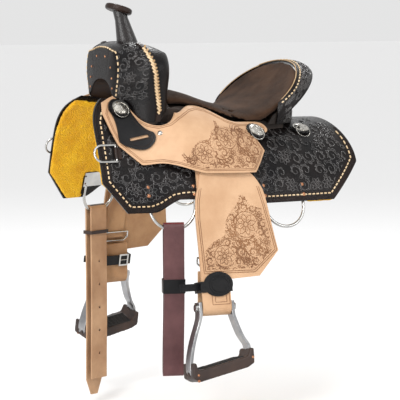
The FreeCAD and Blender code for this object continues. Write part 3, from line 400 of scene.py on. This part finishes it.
def flower(cy, cz, radius, petals=8):
    """An open flower: pointed petals, each with a cut inside, round a ringed centre."""
    lines = []
    for k in range(petals):
        a = 2 * math.pi * k / petals + 0.2
        u, v = math.cos(a), math.sin(a)
        lines += petal(cy + radius * 0.22 * u, cz + radius * 0.22 * v, a, radius * 0.76,
                       radius * 4.4 / (petals + 2))
        lines.append([(cy + radius * q * u, cz + radius * q * v) for q in (0.34, 0.44, 0.54)])
    lines.append([(cy + radius * 0.2 * math.cos(j * math.pi / 8),
                   cz + radius * 0.2 * math.sin(j * math.pi / 8)) for j in range(17)])
    return lines


# The skirt's outline seen from the near side, as (y, z) in millimetres.
SKIRT_EDGE = [(-280, 0), (-280, -90), (-232, -155), (-178, -155), (-165, -151), (-152, -146),
              (-138, -138), (-124, -130), (-108, -127), (-92, -126), (-40, -129), (20, -133),
              (74, -142), (258, -142), (345, -62), (349, -46), (351, -30), (352, -10), (350, 10)]
SKIRT_TOP = [(344, 60), (60, 60), (-160, 118), (-238, 92), (-264, 72), (-277, 44)]
skirt_loop = SKIRT_EDGE + SKIRT_TOP


def carpet(outline, spacing, seed, clear=()):
    """Scrolls and leaves that fill an outline, leaving clear circles (y, z, radius)."""
    rng = random.Random(seed)
    lines = []
    ys = [p[0] for p in outline]
    zs = [p[1] for p in outline]
    row = 0
    z = min(zs)
    while z < max(zs):
        y = min(ys) + (spacing / 2 if row % 2 else 0)
        while y < max(ys):
            cy, cz = y + rng.uniform(-3, 3), z + rng.uniform(-3, 3)
            kind = rng.random()
            start = rng.uniform(0, 6.28)
            hand = 1 if (row + int(y / spacing)) % 2 else -1
            new = []
            if kind < 0.16:
                new += flower(cy, cz, spacing * 0.5, 7)
            else:
                new += acanthus(cy, cz, spacing * 0.42, start, hand)
            for line in new:
                kept = []
                for p in line:
                    if inside(p, outline) and all(math.dist(p, c[:2]) > c[2] for c in clear):
                        kept.append(p)
                        continue
                    if len(kept) > 2:
                        lines.append(kept)
                    kept = []
                if len(kept) > 2:
                    lines.append(kept)
            y += spacing
        z += spacing * 0.86
        row += 1
    return lines


def dashes(path, length, gap):
    """Short lengths along a path, as lace shows between its holes."""
    step = 1.5
    points = along(path, step)
    keep, skip = int(length / step), int(gap / step)
    out = []
    i = 0
    while i + keep < len(points):
        out.append(points[i:i + keep + 1])
        i += keep + skip
    return out


SIDES = (("near", 1), ("off", -1))
BORDER_GAPS = (2.5, 10.0, 18.0)     # creased lines, from the skirt's edge
LACE_SHOWN, LACE_HIDDEN = 6.0, 5.5
REAR_CONCHO = (246, 10, 26)         # left clear of carving: y, z and radius
for side, way in SIDES:
    refinish(side + "_skirt", dark_leather, bevel=0.0012)
    hide = Hide(side + "_skirt")
    field = inset(skirt_loop, 21)
    raised(side + "_skirt_carving", lay(hide, carpet(field, 33, 7, [REAR_CONCHO]), way), 0.0034,
           relief, "saddle", taper=0.6)
    edges = [along(inset(skirt_loop, gap), 4, True) for gap in BORDER_GAPS]
    lower = along(inset(skirt_loop, 3.6), 3.2)
    upper = along(inset(skirt_loop, 9.0), 3.2 * 0.985)
    ticks = [[a, ((a[0] + b[0]) / 2, (a[1] + b[1]) / 2), b] for a, b in zip(lower, upper)
             if math.dist(a, b) < 11]
    raised(side + "_skirt_border", lay(hide, edges + ticks, way), 0.0015, dark_edge, "saddle")
    thread = inset(skirt_loop, 14)
    stitches = []
    for path in (thread[:len(SKIRT_EDGE)], thread[-4:] + thread[:1]):
        stitches += dashes(path, LACE_SHOWN, LACE_HIDDEN)
    raised(side + "_skirt_stitching", lay(hide, stitches, way), 0.0036, pale_lace, "saddle",
           0.2)

# ---- Linings
# Golden wool felt under each skirt: a thick pad with a soft nap that shows below the
# skirt's edge and over the whole of its inner side.
gold_wool = leather("gold_wool_felt", (0.74, 0.36, 0.008), (0.93, 0.55, 0.02), 0.95, 260, 0.9, sheen=0.1,
                    shine=0.1)
gold_wool.node_tree.nodes["Bump"].inputs["Distance"].default_value = 0.002


def ruffle(piece, size, strength, seed=0):
    """Move the skin in and out by soft noise."""
    noise = bpy.data.textures.new(piece.name + "_nap", "CLOUDS")
    noise.noise_scale = size
    push = piece.modifiers.new("nap", "DISPLACE")
    push.texture = noise
    push.texture_coords = "LOCAL"
    push.strength = strength
    push.mid_level = 0.5


for side, _ in SIDES:
    bm = merged(side + "_skirt_lining")
    trimmed = inset(skirt_loop, 3)
    for v in bm.verts:
        if v.co.y < 0.05 and not inside((v.co.y * 1000, v.co.z * 1000), trimmed):
            v.co.z += 0.0045 if v.co.z < -0.06 else 0
            v.co.y += 0.004 if v.co.y < -0.15 else 0
    soften(bm, 60)
    pad = link_mesh(side + "_wool_lining", bm, gold_wool, "saddle")
    felt = pad.modifiers.new("felted", "REMESH")
    felt.mode = "VOXEL"
    felt.voxel_size = 0.0042
    felt.use_smooth_shade = True
    even = pad.modifiers.new("eased", "SMOOTH")
    even.iterations = 2
    ruffle(pad, 0.02, 0.0016)
    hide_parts(side + "_skirt_lining")

# ---- Rigging
# Flat plate dees of bright steel rod between skirt and lining, copper rivets through them,
# and a small dee in a leather keeper at each front edge for the breast collar.
steel = leather("bright_steel", (0.36, 0.36, 0.35), (0.56, 0.55, 0.53), 0.22, 900, 0.05, metal=1.0)
copper = leather("copper", (0.3, 0.12, 0.06), (0.5, 0.25, 0.13), 0.42, 900, 0.2, metal=0.8)
for side, _ in SIDES:
    refinish(side + "_rigging_dees", steel)
    refinish(side + "_rigging_rivets", copper)
    refinish(side + "_breast_dee", steel, side + "_breast_ring")
    refinish(side + "_dee_keeper", dark_edge, bevel=0.0004)

# ---- Jockeys
# Natural russet skirting leather, smooth in front and carved at the rear and lower part
# with two flowers, scrolls and leaves; a scribed double line follows the edge.
natural = leather("natural_leather", (0.45, 0.265, 0.145), (0.54, 0.34, 0.20), 0.5, 520, 0.18)
carved = leather("carved_line", (0.15, 0.06, 0.024), (0.26, 0.12, 0.05), 0.6)
jockey_loop = [(-236, -9), (-192, -51), (-170, -50), (-147, -48), (-121, -53), (-94, -62),
               (-66, -69), (50, -71), (97, -28), (90, -10), (98, 0), (124, 10), (132, 18),
               (128, 27), (112, 32), (80, 33), (50, 35), (26, 43), (4, 57), (-15, 67),
               (-37, 72), (-60, 69), (-80, 61), (-100, 52), (-120, 40), (-142, 34), (-160, 38),
               (-178, 50), (-190, 70), (-198, 95), (-238, 86), (-254, 60), (-247, 23)]


def frond(y, z, angle, length, bend, fingers=5):
    """A long carved leaf: a double stem with fingers that shorten towards its curled tip."""
    stem, heading = [(y, z)], angle
    steps = 18
    for _ in range(steps):
        y += length / steps * math.cos(heading)
        z += length / steps * math.sin(heading)
        heading += bend / steps
        stem.append((y, z))
    lines = [stem, [(p[0] + 2.2 * math.sin(angle), p[1] - 2.2 * math.cos(angle)) for p in stem[:12]]]
    turn = -1 if bend > 0 else 1
    for k in range(fingers):
        at = stem[2 + int(k * (steps - 4) / fingers)]
        lines += petal(at[0], at[1], angle + bend * k / fingers + turn * 0.75,
                       length * (0.44 - 0.04 * k), length * 0.13, -turn * 0.22)
    return lines


def pebbles(outline, spacing, seed, lines):
    """Dots of the backgrounding tool that fill an outline, kept off the carved lines."""
    rng = random.Random(seed)
    near = {(round(p[0] / 2), round(p[1] / 2)) for line in lines for p in line}
    dots = []
    ys, zs = [p[0] for p in outline], [p[1] for p in outline]
    for i in range(int((max(ys) - min(ys)) / spacing)):
        for j in range(int((max(zs) - min(zs)) / spacing)):
            y = min(ys) + (i + rng.random()) * spacing
            z = min(zs) + (j + rng.random()) * spacing
            if inside((y, z), outline) and (round(y / 2), round(z / 2)) not in near:
                dots.append([(y, z), (y + 0.5, z + 0.3)])
    return dots


def ringed_flowers(blossoms):
    """Flowers at (y, z, radius), each with a ring scribed round it."""
    lines = [line for spot in blossoms for line in flower(*spot)]
    for y, z, r in blossoms:
        lines.append([(y + (r + 3) * math.cos(j * 0.21), z + (r + 3) * math.sin(j * 0.21))
                      for j in range(27)])
    return lines


for side, way in SIDES:
    refinish(side + "_jockey", natural, bevel=0.0012)
    hide = Hide(side + "_jockey")
    creases = [along(inset(jockey_loop, gap), 3, True) for gap in (5, 8)]
    blossoms = [(-62, -26, 19), (0, 2, 18)]
    lines = ringed_flowers(blossoms)
    carved_part = [(-122, -46), (-100, -34), (-88, -14), (-66, 0), (-44, 2), (-30, 20), (-8, 30),
                   (12, 26), (36, 22), (60, 20), (80, 10), (78, -10), (86, -27), (46, -61),
                   (-62, -60), (-92, -54)]
    for spot in [(-82, -40, 3.4, 34, -1.6), (-40, -34, 5.6, 40, 1.5), (26, -8, 5.0, 46, 1.7),
                 (20, 18, 0.3, 44, -1.3), (-24, 20, 0.4, 26, 1.2)]:
        lines += frond(*spot)
    lines += carpet(carved_part, 21, 4, [(y, z, r + 3) for y, z, r in blossoms])
    lines += pebbles(carved_part, 2.5, 2, lines)
    frame_line = inset(jockey_loop, 10)
    kept = [[p for p in line if inside(p, frame_line)] for line in lines]
    raised(side + "_jockey_carving", lay(hide, kept + creases, way), 0.0013, carved, "saddle",
           taper=0.2)

# ---- Strap holders and conchos
# Black strap holders, scalloped rosettes and domed silver conchos with a roped rim and an
# engraved flower, held by their own screws.
black_leather = leather("black_leather", (0.004, 0.004, 0.0045), (0.010, 0.0095, 0.010), 0.34, shine=0.2)
silver = leather("silver", (0.42, 0.40, 0.36), (0.66, 0.64, 0.60), 0.2, 900, 0.05, metal=1.0)
for side, way in SIDES:
    refinish(side + "_latigo_holder", black_leather, bevel=0.001)
    hide = Hide(side + "_latigo_holder")
    rim = [(-212, -5), (-194, -12), (-177, -11), (-164, -2), (-157, 10), (-162, 17), (-182, 31),
           (-193, 46)]
    tongue = [(-212, 4), (-210, -2), (-163, 6), (-164, 17)]
    raised(side + "_holder_creasing", lay(hide, [along(rim, 2), along(tongue, 2)], way), 0.0012,
           dark_edge, "saddle")
refinish("rosettes", black_leather, bevel=0.0006)
refinish("conchos", silver, angle=25)
refinish("jockey_screws", silver)
concho_skin = Hide("conchos")
CONCHO_PLACES = ((-214, 69), (94, 13), (246, 10))   # y, z of each middle
ROPE_BEADS, ROPE_RADIUS = 40, 0.0172
bm = bmesh.new()
petals = []
for way in (1, -1):
    for cy, cz in CONCHO_PLACES:
        middle, normal = concho_skin.at(cy, cz, way)
        right = normal.cross(Vector((0, 0, 1))).normalized()
        up = right.cross(normal)
        for i in range(ROPE_BEADS):
            a = 2 * math.pi * i / ROPE_BEADS
            spot = middle + (right * math.cos(a) + up * math.sin(a)) * ROPE_RADIUS - normal * 0.0042
            turn = Matrix.Translation(spot) @ Matrix.Rotation(a, 4, normal)
            bmesh.ops.create_icosphere(bm, subdivisions=1, radius=0.0015, matrix=turn)
        for k in range(6):
            a = 2 * math.pi * k / 6
            for share in (-1, 1):
                run = []
                for i in range(9):
                    t = i / 8
                    r = 0.0028 + 0.0105 * t
                    b = a + share * 0.36 * math.sin(math.pi * t)
                    spot = middle + (right * math.cos(b) + up * math.sin(b)) * r + normal * 0.004
                    found = concho_skin.towards(spot, spot - normal)
                    if found:
                        run.append(found)
                petals.append(run)
        bmesh.ops.create_icosphere(bm, subdivisions=2, radius=0.0024, matrix=Matrix.Translation(middle))
soften(bm, 180)
link_mesh("concho_beads", bm, silver, "saddle")
raised("concho_engraving", petals, 0.0011, silver, "saddle", taper=0.5)

# ---- Swell and horn
# The fork is covered in carved dark leather, buck-stitched round its front edge, with a
# braided rawhide plait down each side; the horn is wrapped and capped in the same leather.
# Painted shadow: the tree's fork, cantle and bars are dressed near black so that where they show under the
# seat they read as shade.
painted_shadow_tree = leather("tree_painted_as_shadow", (0.012, 0.008, 0.006), (0.03, 0.018, 0.012), 0.6, 200, 0.3)
for node in ("tree_fork", "tree_cantle", "near_tree_bar", "off_tree_bar"):
    dress(node, painted_shadow_tree)
dress("ground_seat", black_leather)
refinish("swell_cover", dark_leather, bevel=0.0015, angle=50)
refinish("gullet_liner", dark_edge)
horn_leather = leather("polished_horn_leather", (0.005, 0.004, 0.004), (0.012, 0.008, 0.007), 0.18,
                       shine=0.6)
refinish("horn_neck_wrap", horn_leather, angle=50)
refinish("horn_cap", dark_edge, angle=50)
dress("horn_post", steel)
swell = Hide("swell_cover")
swell_field = [(88, 52), (88, 205), (150, 205), (150, 52)]
runs = []
for way in (1, -1):
    for line in carpet(swell_field, 29, 11):
        run = []
        for u, v in line:
            a = math.radians(u / 1.9)
            heart = Vector((0, -0.135, v / 1000))
            hit = swell.towards(heart + Vector((0.4 * way * math.sin(a), -0.4 * math.cos(a), 0.12)), heart)
            if hit:
                run.append(hit)
        runs.append(run)
raised("swell_carving", [run for run in runs if len(run) > 2], 0.0032, relief, "saddle",
       taper=0.4)
SWELL_RIM = -0.2095         # y of the stitched line round the swell's front edge
stitches = []
for k in range(34):
    a0 = math.radians(-128 + 256 * k / 33.5)
    run = []
    for i in range(5):
        a = a0 + math.radians(4.0) * i / 4
        far = (0.4 * math.sin(a), SWELL_RIM, 0.115 + 0.4 * math.cos(a))
        hit = swell.towards(far, (0, SWELL_RIM, 0.115))
        if hit and hit[0].z > 0.085 and hit[0].x * math.sin(a) > 0:
            run.append(hit)
    stitches.append(run)
raised("swell_stitching", stitches, 0.0038, pale_lace, "saddle", 0.2)

tan_lace = leather("tan_lace", (0.34, 0.21, 0.10), (0.50, 0.34, 0.18), 0.55, 700, 0.15)
for side, way in SIDES:
    lace = Hide(side + "_swell_lacing")
    strands = {-1: [], 1: []}
    spine = [(-163, 200), (-158, 175), (-153, 143), (-148, 120), (-143, 99), (-139, 80), (-138, 66),
             (-140, 50)]
    steps = along(spine, 7.4)
    for i, (y, z) in enumerate(steps[:-1]):
        for lean in (-1, 1):
            run = []
            for j in range(6):
                t = j / 5
                off = lean * 6.6 * (1 - t) - lean * 0.8
                hit = lace.at(y + off, z - 8 * t + 4 + (3.7 if lean > 0 else 0), way)
                if hit:
                    run.append(hit)
            strands[lean].append(run)
    for lean, tone, part in ((-1, pale_lace, "front"), (1, tan_lace, "rear")):
        raised(side + "_plait_" + part, strands[lean], 0.0044, tone, "saddle", 0.4)
    # The lacing body under the plait's strands is dressed dark: painted shade in the gaps between the
    # strands.
    dress(side + "_swell_lacing", dark_edge)

FRONT_SCREWS = ((50, 158), (56, 134), (58, 112), (22, 182))     # x, z on each side, millimetres
heads = bmesh.new()
for x, z in FRONT_SCREWS:
    for way in (1, -1):
        hit = swell.towards((x * way / 1000, -0.4, z / 1000), (x * way / 1000, -0.2, z / 1000))
        if hit:
            bmesh.ops.create_icosphere(heads, subdivisions=2, radius=0.0032,
                                       matrix=Matrix.Translation(hit[0] - hit[1] * 0.0015))
soften(heads, 180)
link_mesh("swell_front_screws", heads, copper, "saddle")

# ---- Seat
# Padded dark suede over foam, sunk in the middle and turned up the cantle, where a welt
# closes its rear edge.
suede = leather("suede", (0.028, 0.015, 0.009), (0.07, 0.038, 0.023), 0.95, 600, 0.5, sheen=0.06, shine=0.1)
suede.node_tree.nodes["Principled BSDF"].inputs["Sheen Roughness"].default_value = 0.4
bm = merged("seat_pad")
soften(bm, 60)
seat = link_mesh("suede_seat", bm, suede, "saddle")
foam = seat.modifiers.new("foam", "REMESH")
foam.mode = "VOXEL"
foam.voxel_size = 0.0045
foam.use_smooth_shade = True
ease = seat.modifiers.new("eased", "SMOOTH")
ease.iterations = 8
ruffle(seat, 0.05, 0.002)
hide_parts("seat_pad")

# ---- Cantle
# Carved dark leather over the back and a broad rolled rim, buck-stitched along its inner
# edge where it meets the suede.
refinish("cantle_back", dark_leather, angle=50)
refinish("cantle_roll", dark_leather, angle=50)
roll = Hide("cantle_roll")
stitches = []
for k in range(40):
    a0 = math.radians(-98 + 196 * k / 39.5)
    run = []
    for i in range(4):
        a = a0 + math.radians(2.5) * i / 3
        spot = Vector((0.153 * math.sin(a), 0.181 + 0.089 * math.cos(a), 0.0875 + 0.078 * math.cos(a)))
        hit = roll.towards(spot + Vector((0, -0.03, 0.05)), spot)
        if hit and (hit[0] - spot).length < 0.03:
            run.append(hit)
    stitches.append(run)


def on_roll(u, v):
    """A point on the roll: u along it in degrees, v across it from the inner edge."""
    a = math.radians(u)
    s, c = math.sin(a), math.cos(a)
    inner = Vector((0.147 * s, 0.180 + 0.079 * c, 0.090 + 0.075 * c))
    outer = Vector((0.158 * s, 0.184 + 0.126 * c, 0.054 + 0.098 * c))
    spot = inner.lerp(outer, v)
    out = Vector((s * 0.6, 0.25, 0.75)).normalized()
    return roll.towards(spot + out * 0.05, spot - out * 0.01)


runs = []
for line in carpet([(-96, 0), (-96, 44), (96, 44), (96, 0)], 19, 5):
    found = [on_roll(u, 0.2 + v / 60) for u, v in line]
    runs.append([hit for hit in found if hit])
welt = [hit for hit in (on_roll(2 * k - 96, 0.0) for k in range(97)) if hit]
breaks = [0] + [i for i in range(1, len(welt)) if (welt[i][0] - welt[i - 1][0]).length > 0.02]
raised("seat_welt", [welt[i:j] for i, j in zip(breaks, breaks[1:] + [len(welt)])], 0.0026, tan_lace,
       "saddle")
raised("cantle_stitching", stitches, 0.0034, pale_lace, "saddle", 0.2)
raised("cantle_carving", runs, 0.0026, relief, "saddle", taper=0.4)
back = Hide("cantle_back")
runs = []
for line in carpet([(-110, 28), (-110, 110), (110, 110), (110, 28)], 25, 3):
    run = []
    for u, z in line:
        a = math.radians(u * 0.72)
        hit = back.towards((0.3 * math.sin(a), 0.16 + 0.32 * math.cos(a), z / 1000),
                           (0, 0.16, z / 1000))
        if hit and hit[1].y > -0.2:
            run.append(hit)
    runs.append(run)
raised("cantle_back_carving", runs, 0.0026, relief, "saddle", taper=0.4)

# ---- Fenders and stirrup leathers
# One sheet of natural leather from under the jockey to the tail that wraps the stirrup's
# roller; it folds where it leaves the jockey. The carved panel has two eight-petalled
# flowers with scrolls inside a scribed border.
fender_loop = [(-83, -78), (-88, -102), (-95, -128), (-98, -168), (-97, -220), (-96, -290),
               (30, -292), (90, -244), (78, -180), (68, -131), (60, -98), (52, -78)]
# The near blade's own directions: up along it, and out of its grain face.
FENDER_UP = (-0.20636, 0.02534, 0.97815)
FENDER_OUT = (0.97086, -0.11921, 0.20791)
flesh_side = leather("flesh_side", (0.30, 0.16, 0.08), (0.42, 0.25, 0.13), 0.8, 300, 0.5)
for side, way in SIDES:
    fold = [j for j in frame["joints"] if j["name"] == side + "_fender_lift"][0]
    pivot = Vector(fold["pos_m"])
    up = Vector((FENDER_UP[0] * way, *FENDER_UP[1:]))
    bm = merged(side + "_leather_top", side + "_fender")
    seam = [v for v in bm.verts if abs((v.co - pivot).dot(up)) < 0.0003]
    for v in seam:
        v.co -= up * (v.co - pivot).dot(up)
    bmesh.ops.remove_doubles(bm, verts=seam, dist=0.0002)
    flat = [f for f in bm.faces if all(abs((v.co - pivot).dot(up)) < 0.0001 for v in f.verts)]
    bmesh.ops.delete(bm, geom=flat, context="FACES_ONLY")
    for k in range(-6, 7):
        bmesh.ops.bisect_plane(bm, geom=bm.verts[:] + bm.edges[:] + bm.faces[:], dist=0.00001,
                               plane_co=pivot + up * (0.0035 * k + 0.0009), plane_no=up)
    soften(bm, 35)
    sheet = link_mesh(side + "_fender_sheet", bm, natural, None)
    sheet.data.materials.append(flesh_side)
    outward = Vector((FENDER_OUT[0] * way, *FENDER_OUT[1:]))
    for face in sheet.data.polygons:
        face.material_index = 1 if face.normal.dot(outward) < -0.5 else 0
    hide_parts(side + "_leather_top", side + "_fender")
    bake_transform(sheet)
    hide = Hide(side + "_fender")
    creases = [along(inset(fender_loop, gap), 3, True) for gap in (5, 9)]
    blossoms = [(17, -184, 25), (-40, -250, 20)]
    lines = ringed_flowers(blossoms)
    carved_part = [(-84, -278), (-84, -236), (-62, -218), (-36, -206), (-28, -172), (-14, -152),
                   (0, -140), (8, -118), (22, -124), (30, -142), (56, -150), (66, -184), (76, -240),
                   (28, -280)]
    for spot in [(-8, -210, 1.9, 52, -1.5), (-16, -214, 5.9, 56, 1.0), (8, -228, 4.9, 46, 1.2),
                 (34, -216, 5.2, 46, 0.9), (-12, -240, 5.2, 40, 1.3)]:
        lines += frond(*spot)
    lines += carpet(carved_part, 22, 9, [(y, z, r + 3) for y, z, r in blossoms])
    lines += pebbles(carved_part, 2.5, 3, lines)
    panel = inset(fender_loop, 11)
    kept = [[p for p in line if inside(p, panel)] for line in lines]
    for y0, z0, y1, z1 in ((-78, -352, -38, -318), (-71, -347, -45, -323)):
        creases.append(along([(y0, z0), (y1, z0), (y1, z1), (y0, z1)], 2, True))
    raised(side + "_fender_carving", lay(hide, kept + creases, way), 0.0014, carved,
           side + "_fender_leather", taper=0.3)
    refinish(side + "_stirrup_leather", flesh_side, side + "_fender_leather", 0.001)
    refinish(side + "_leather_buckle", steel, side + "_fender_leather")
    refinish(side + "_hobble_buckle", steel, side + "_fender_leather", 0.0004)
    refinish(side + "_hobble_strap", black_leather, side + "_fender_leather", 0.0008)
    dress(side + "_stirrup_roller", black_leather)
    hide = Hide(side + "_hobble_strap")
    rings = [[(-58 + 27 * r * math.cos(j * math.pi / 16), -310 + 22 * r * math.sin(j * math.pi / 16))
              for j in range(33)] for r in (0.92, 0.72)]
    raised(side + "_hobble_badge_rings", lay(hide, rings, way), 0.0016, black_leather,
           side + "_fender_leather")

# ---- Stirrups
# Bell-shaped cast aluminium bows with a leather-bound tread and a ribbed rubber top, hung
# on a bolt through the tail of the fender.
alloy = leather("cast_aluminium", (0.26, 0.26, 0.27), (0.46, 0.46, 0.46), 0.3, 700, 0.08, metal=1.0)
tread_leather = leather("tread_leather", (0.02, 0.012, 0.01), (0.05, 0.028, 0.02), 0.5)
rubber = leather("tread_rubber", (0.008, 0.008, 0.008), (0.016, 0.015, 0.015), 0.7, 300, 0.4)
TREAD_MIDDLE = (0.2805, -0.064)     # x, y of the near tread's middle
RIBS, RIB_SPACING, RIB_LENGTH = 9, 0.0062, 0.094
for side, way in SIDES:
    body = side + "_stirrup"
    refinish(side + "_stirrup_frame", alloy, body, 0.0014, 50)
    wrap = refinish(side + "_stirrup_tread", tread_leather, body, 0, 50)
    shrunk = wrap.modifiers.new("wet_shrunk", "REMESH")
    shrunk.mode = "VOXEL"
    shrunk.voxel_size = 0.0028
    shrunk.use_smooth_shade = True
    eased = wrap.modifiers.new("eased", "SMOOTH")
    eased.iterations = 7
    refinish(side + "_stirrup_bolt", steel, body)
    tread = Hide(side + "_stirrup_tread")
    ribs = []
    for k in range(RIBS):
        run = []
        for i in range(22):
            y = TREAD_MIDDLE[1] + (i / 21 - 0.5) * RIB_LENGTH
            x = (TREAD_MIDDLE[0] + (k - RIBS // 2) * RIB_SPACING) * way
            hit = tread.tree.ray_cast(Vector((x, y, -0.40)), Vector((0, 0, -1)))
            if hit[0] is not None:
                run.append((hit[0], hit[1]))
        ribs.append(run)
    raised(side + "_tread_ribs", ribs, 0.0036, rubber, body)

    low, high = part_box(side + "_stirrup_tread")
    heads = bmesh.new()
    for y in (low.y + 0.012, high.y - 0.012):
        for z in (low.z + 0.016, low.z + 0.028, high.z - 0.02):
            hit = tread.at(y * 1000, z * 1000, way)
            if hit:
                bmesh.ops.create_icosphere(heads, subdivisions=2, radius=0.0034,
                                           matrix=Matrix.Translation(hit[0] - hit[1] * 0.0016))
    soften(heads, 180)
    link_mesh(side + "_tread_rivets", heads, copper, body)

# ---- Latigo and billet
# A burgundy latigo doubled through the near dee with a black keeper, and a natural billet,
# punched and tied, doubled over the off dee; both hang in a slight natural curve.
burgundy = leather("burgundy_latigo", (0.062, 0.022, 0.023), (0.105, 0.042, 0.043), 0.45, 360, 0.3)
billet_leather = leather("billet_leather", (0.34, 0.19, 0.10), (0.47, 0.29, 0.165), 0.62, 420, 0.3)


def hang(node, material, edge, body, sway, facing):
    """A strap cut into short lengths and eased into a hanging curve, its sides dyed.

    Facing is the direction of its flat face; the rest of its skin takes the edge's finish."""
    bm = merged(node)
    lo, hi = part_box(node)
    count = 40
    for k in range(1, count):
        z = lo[2] + (hi[2] - lo[2]) * k / count
        bmesh.ops.bisect_plane(bm, geom=bm.verts[:] + bm.edges[:] + bm.faces[:], dist=0.00001,
                               plane_co=(0, 0, z), plane_no=(0, 0, 1))
    for v in bm.verts:
        t = (hi[2] - v.co.z) / (hi[2] - lo[2])
        v.co.x += sway * math.sin(math.pi * min(1.0, max(0.0, (t - 0.16) / 0.84)) * 1.7) * t
    soften(bm, 35)
    bm.normal_update()
    for face in bm.faces:
        face.material_index = 1 if abs(face.normal.dot(Vector(facing))) < 0.5 else 0
    piece = link_mesh(node + "_hanging", bm, material, body)
    piece.data.materials.append(edge)
    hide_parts(node)
    return piece


red_edge = leather("red_dyed_edge", (0.10, 0.012, 0.014), (0.17, 0.022, 0.026), 0.5, 360, 0.3)
dark_flesh = leather("dark_strap_edge", (0.035, 0.022, 0.016), (0.07, 0.043, 0.03), 0.6, 360, 0.3)
SWAY = 0.003
FACE_ACROSS, FACE_BACK = 0.9416, 0.3366     # how the dees turn the straps' faces
hang("latigo", burgundy, red_edge, "latigo_strap", SWAY,
     (FACE_ACROSS, FACE_BACK, 0))
hang("off_billet", billet_leather, dark_flesh, "billet", SWAY,
     (-FACE_ACROSS, FACE_BACK, 0))
refinish("latigo_keeper", black_leather, "latigo_loop", 0.0005)
refinish("billet_tie", tread_leather, "billet", 0.0005)
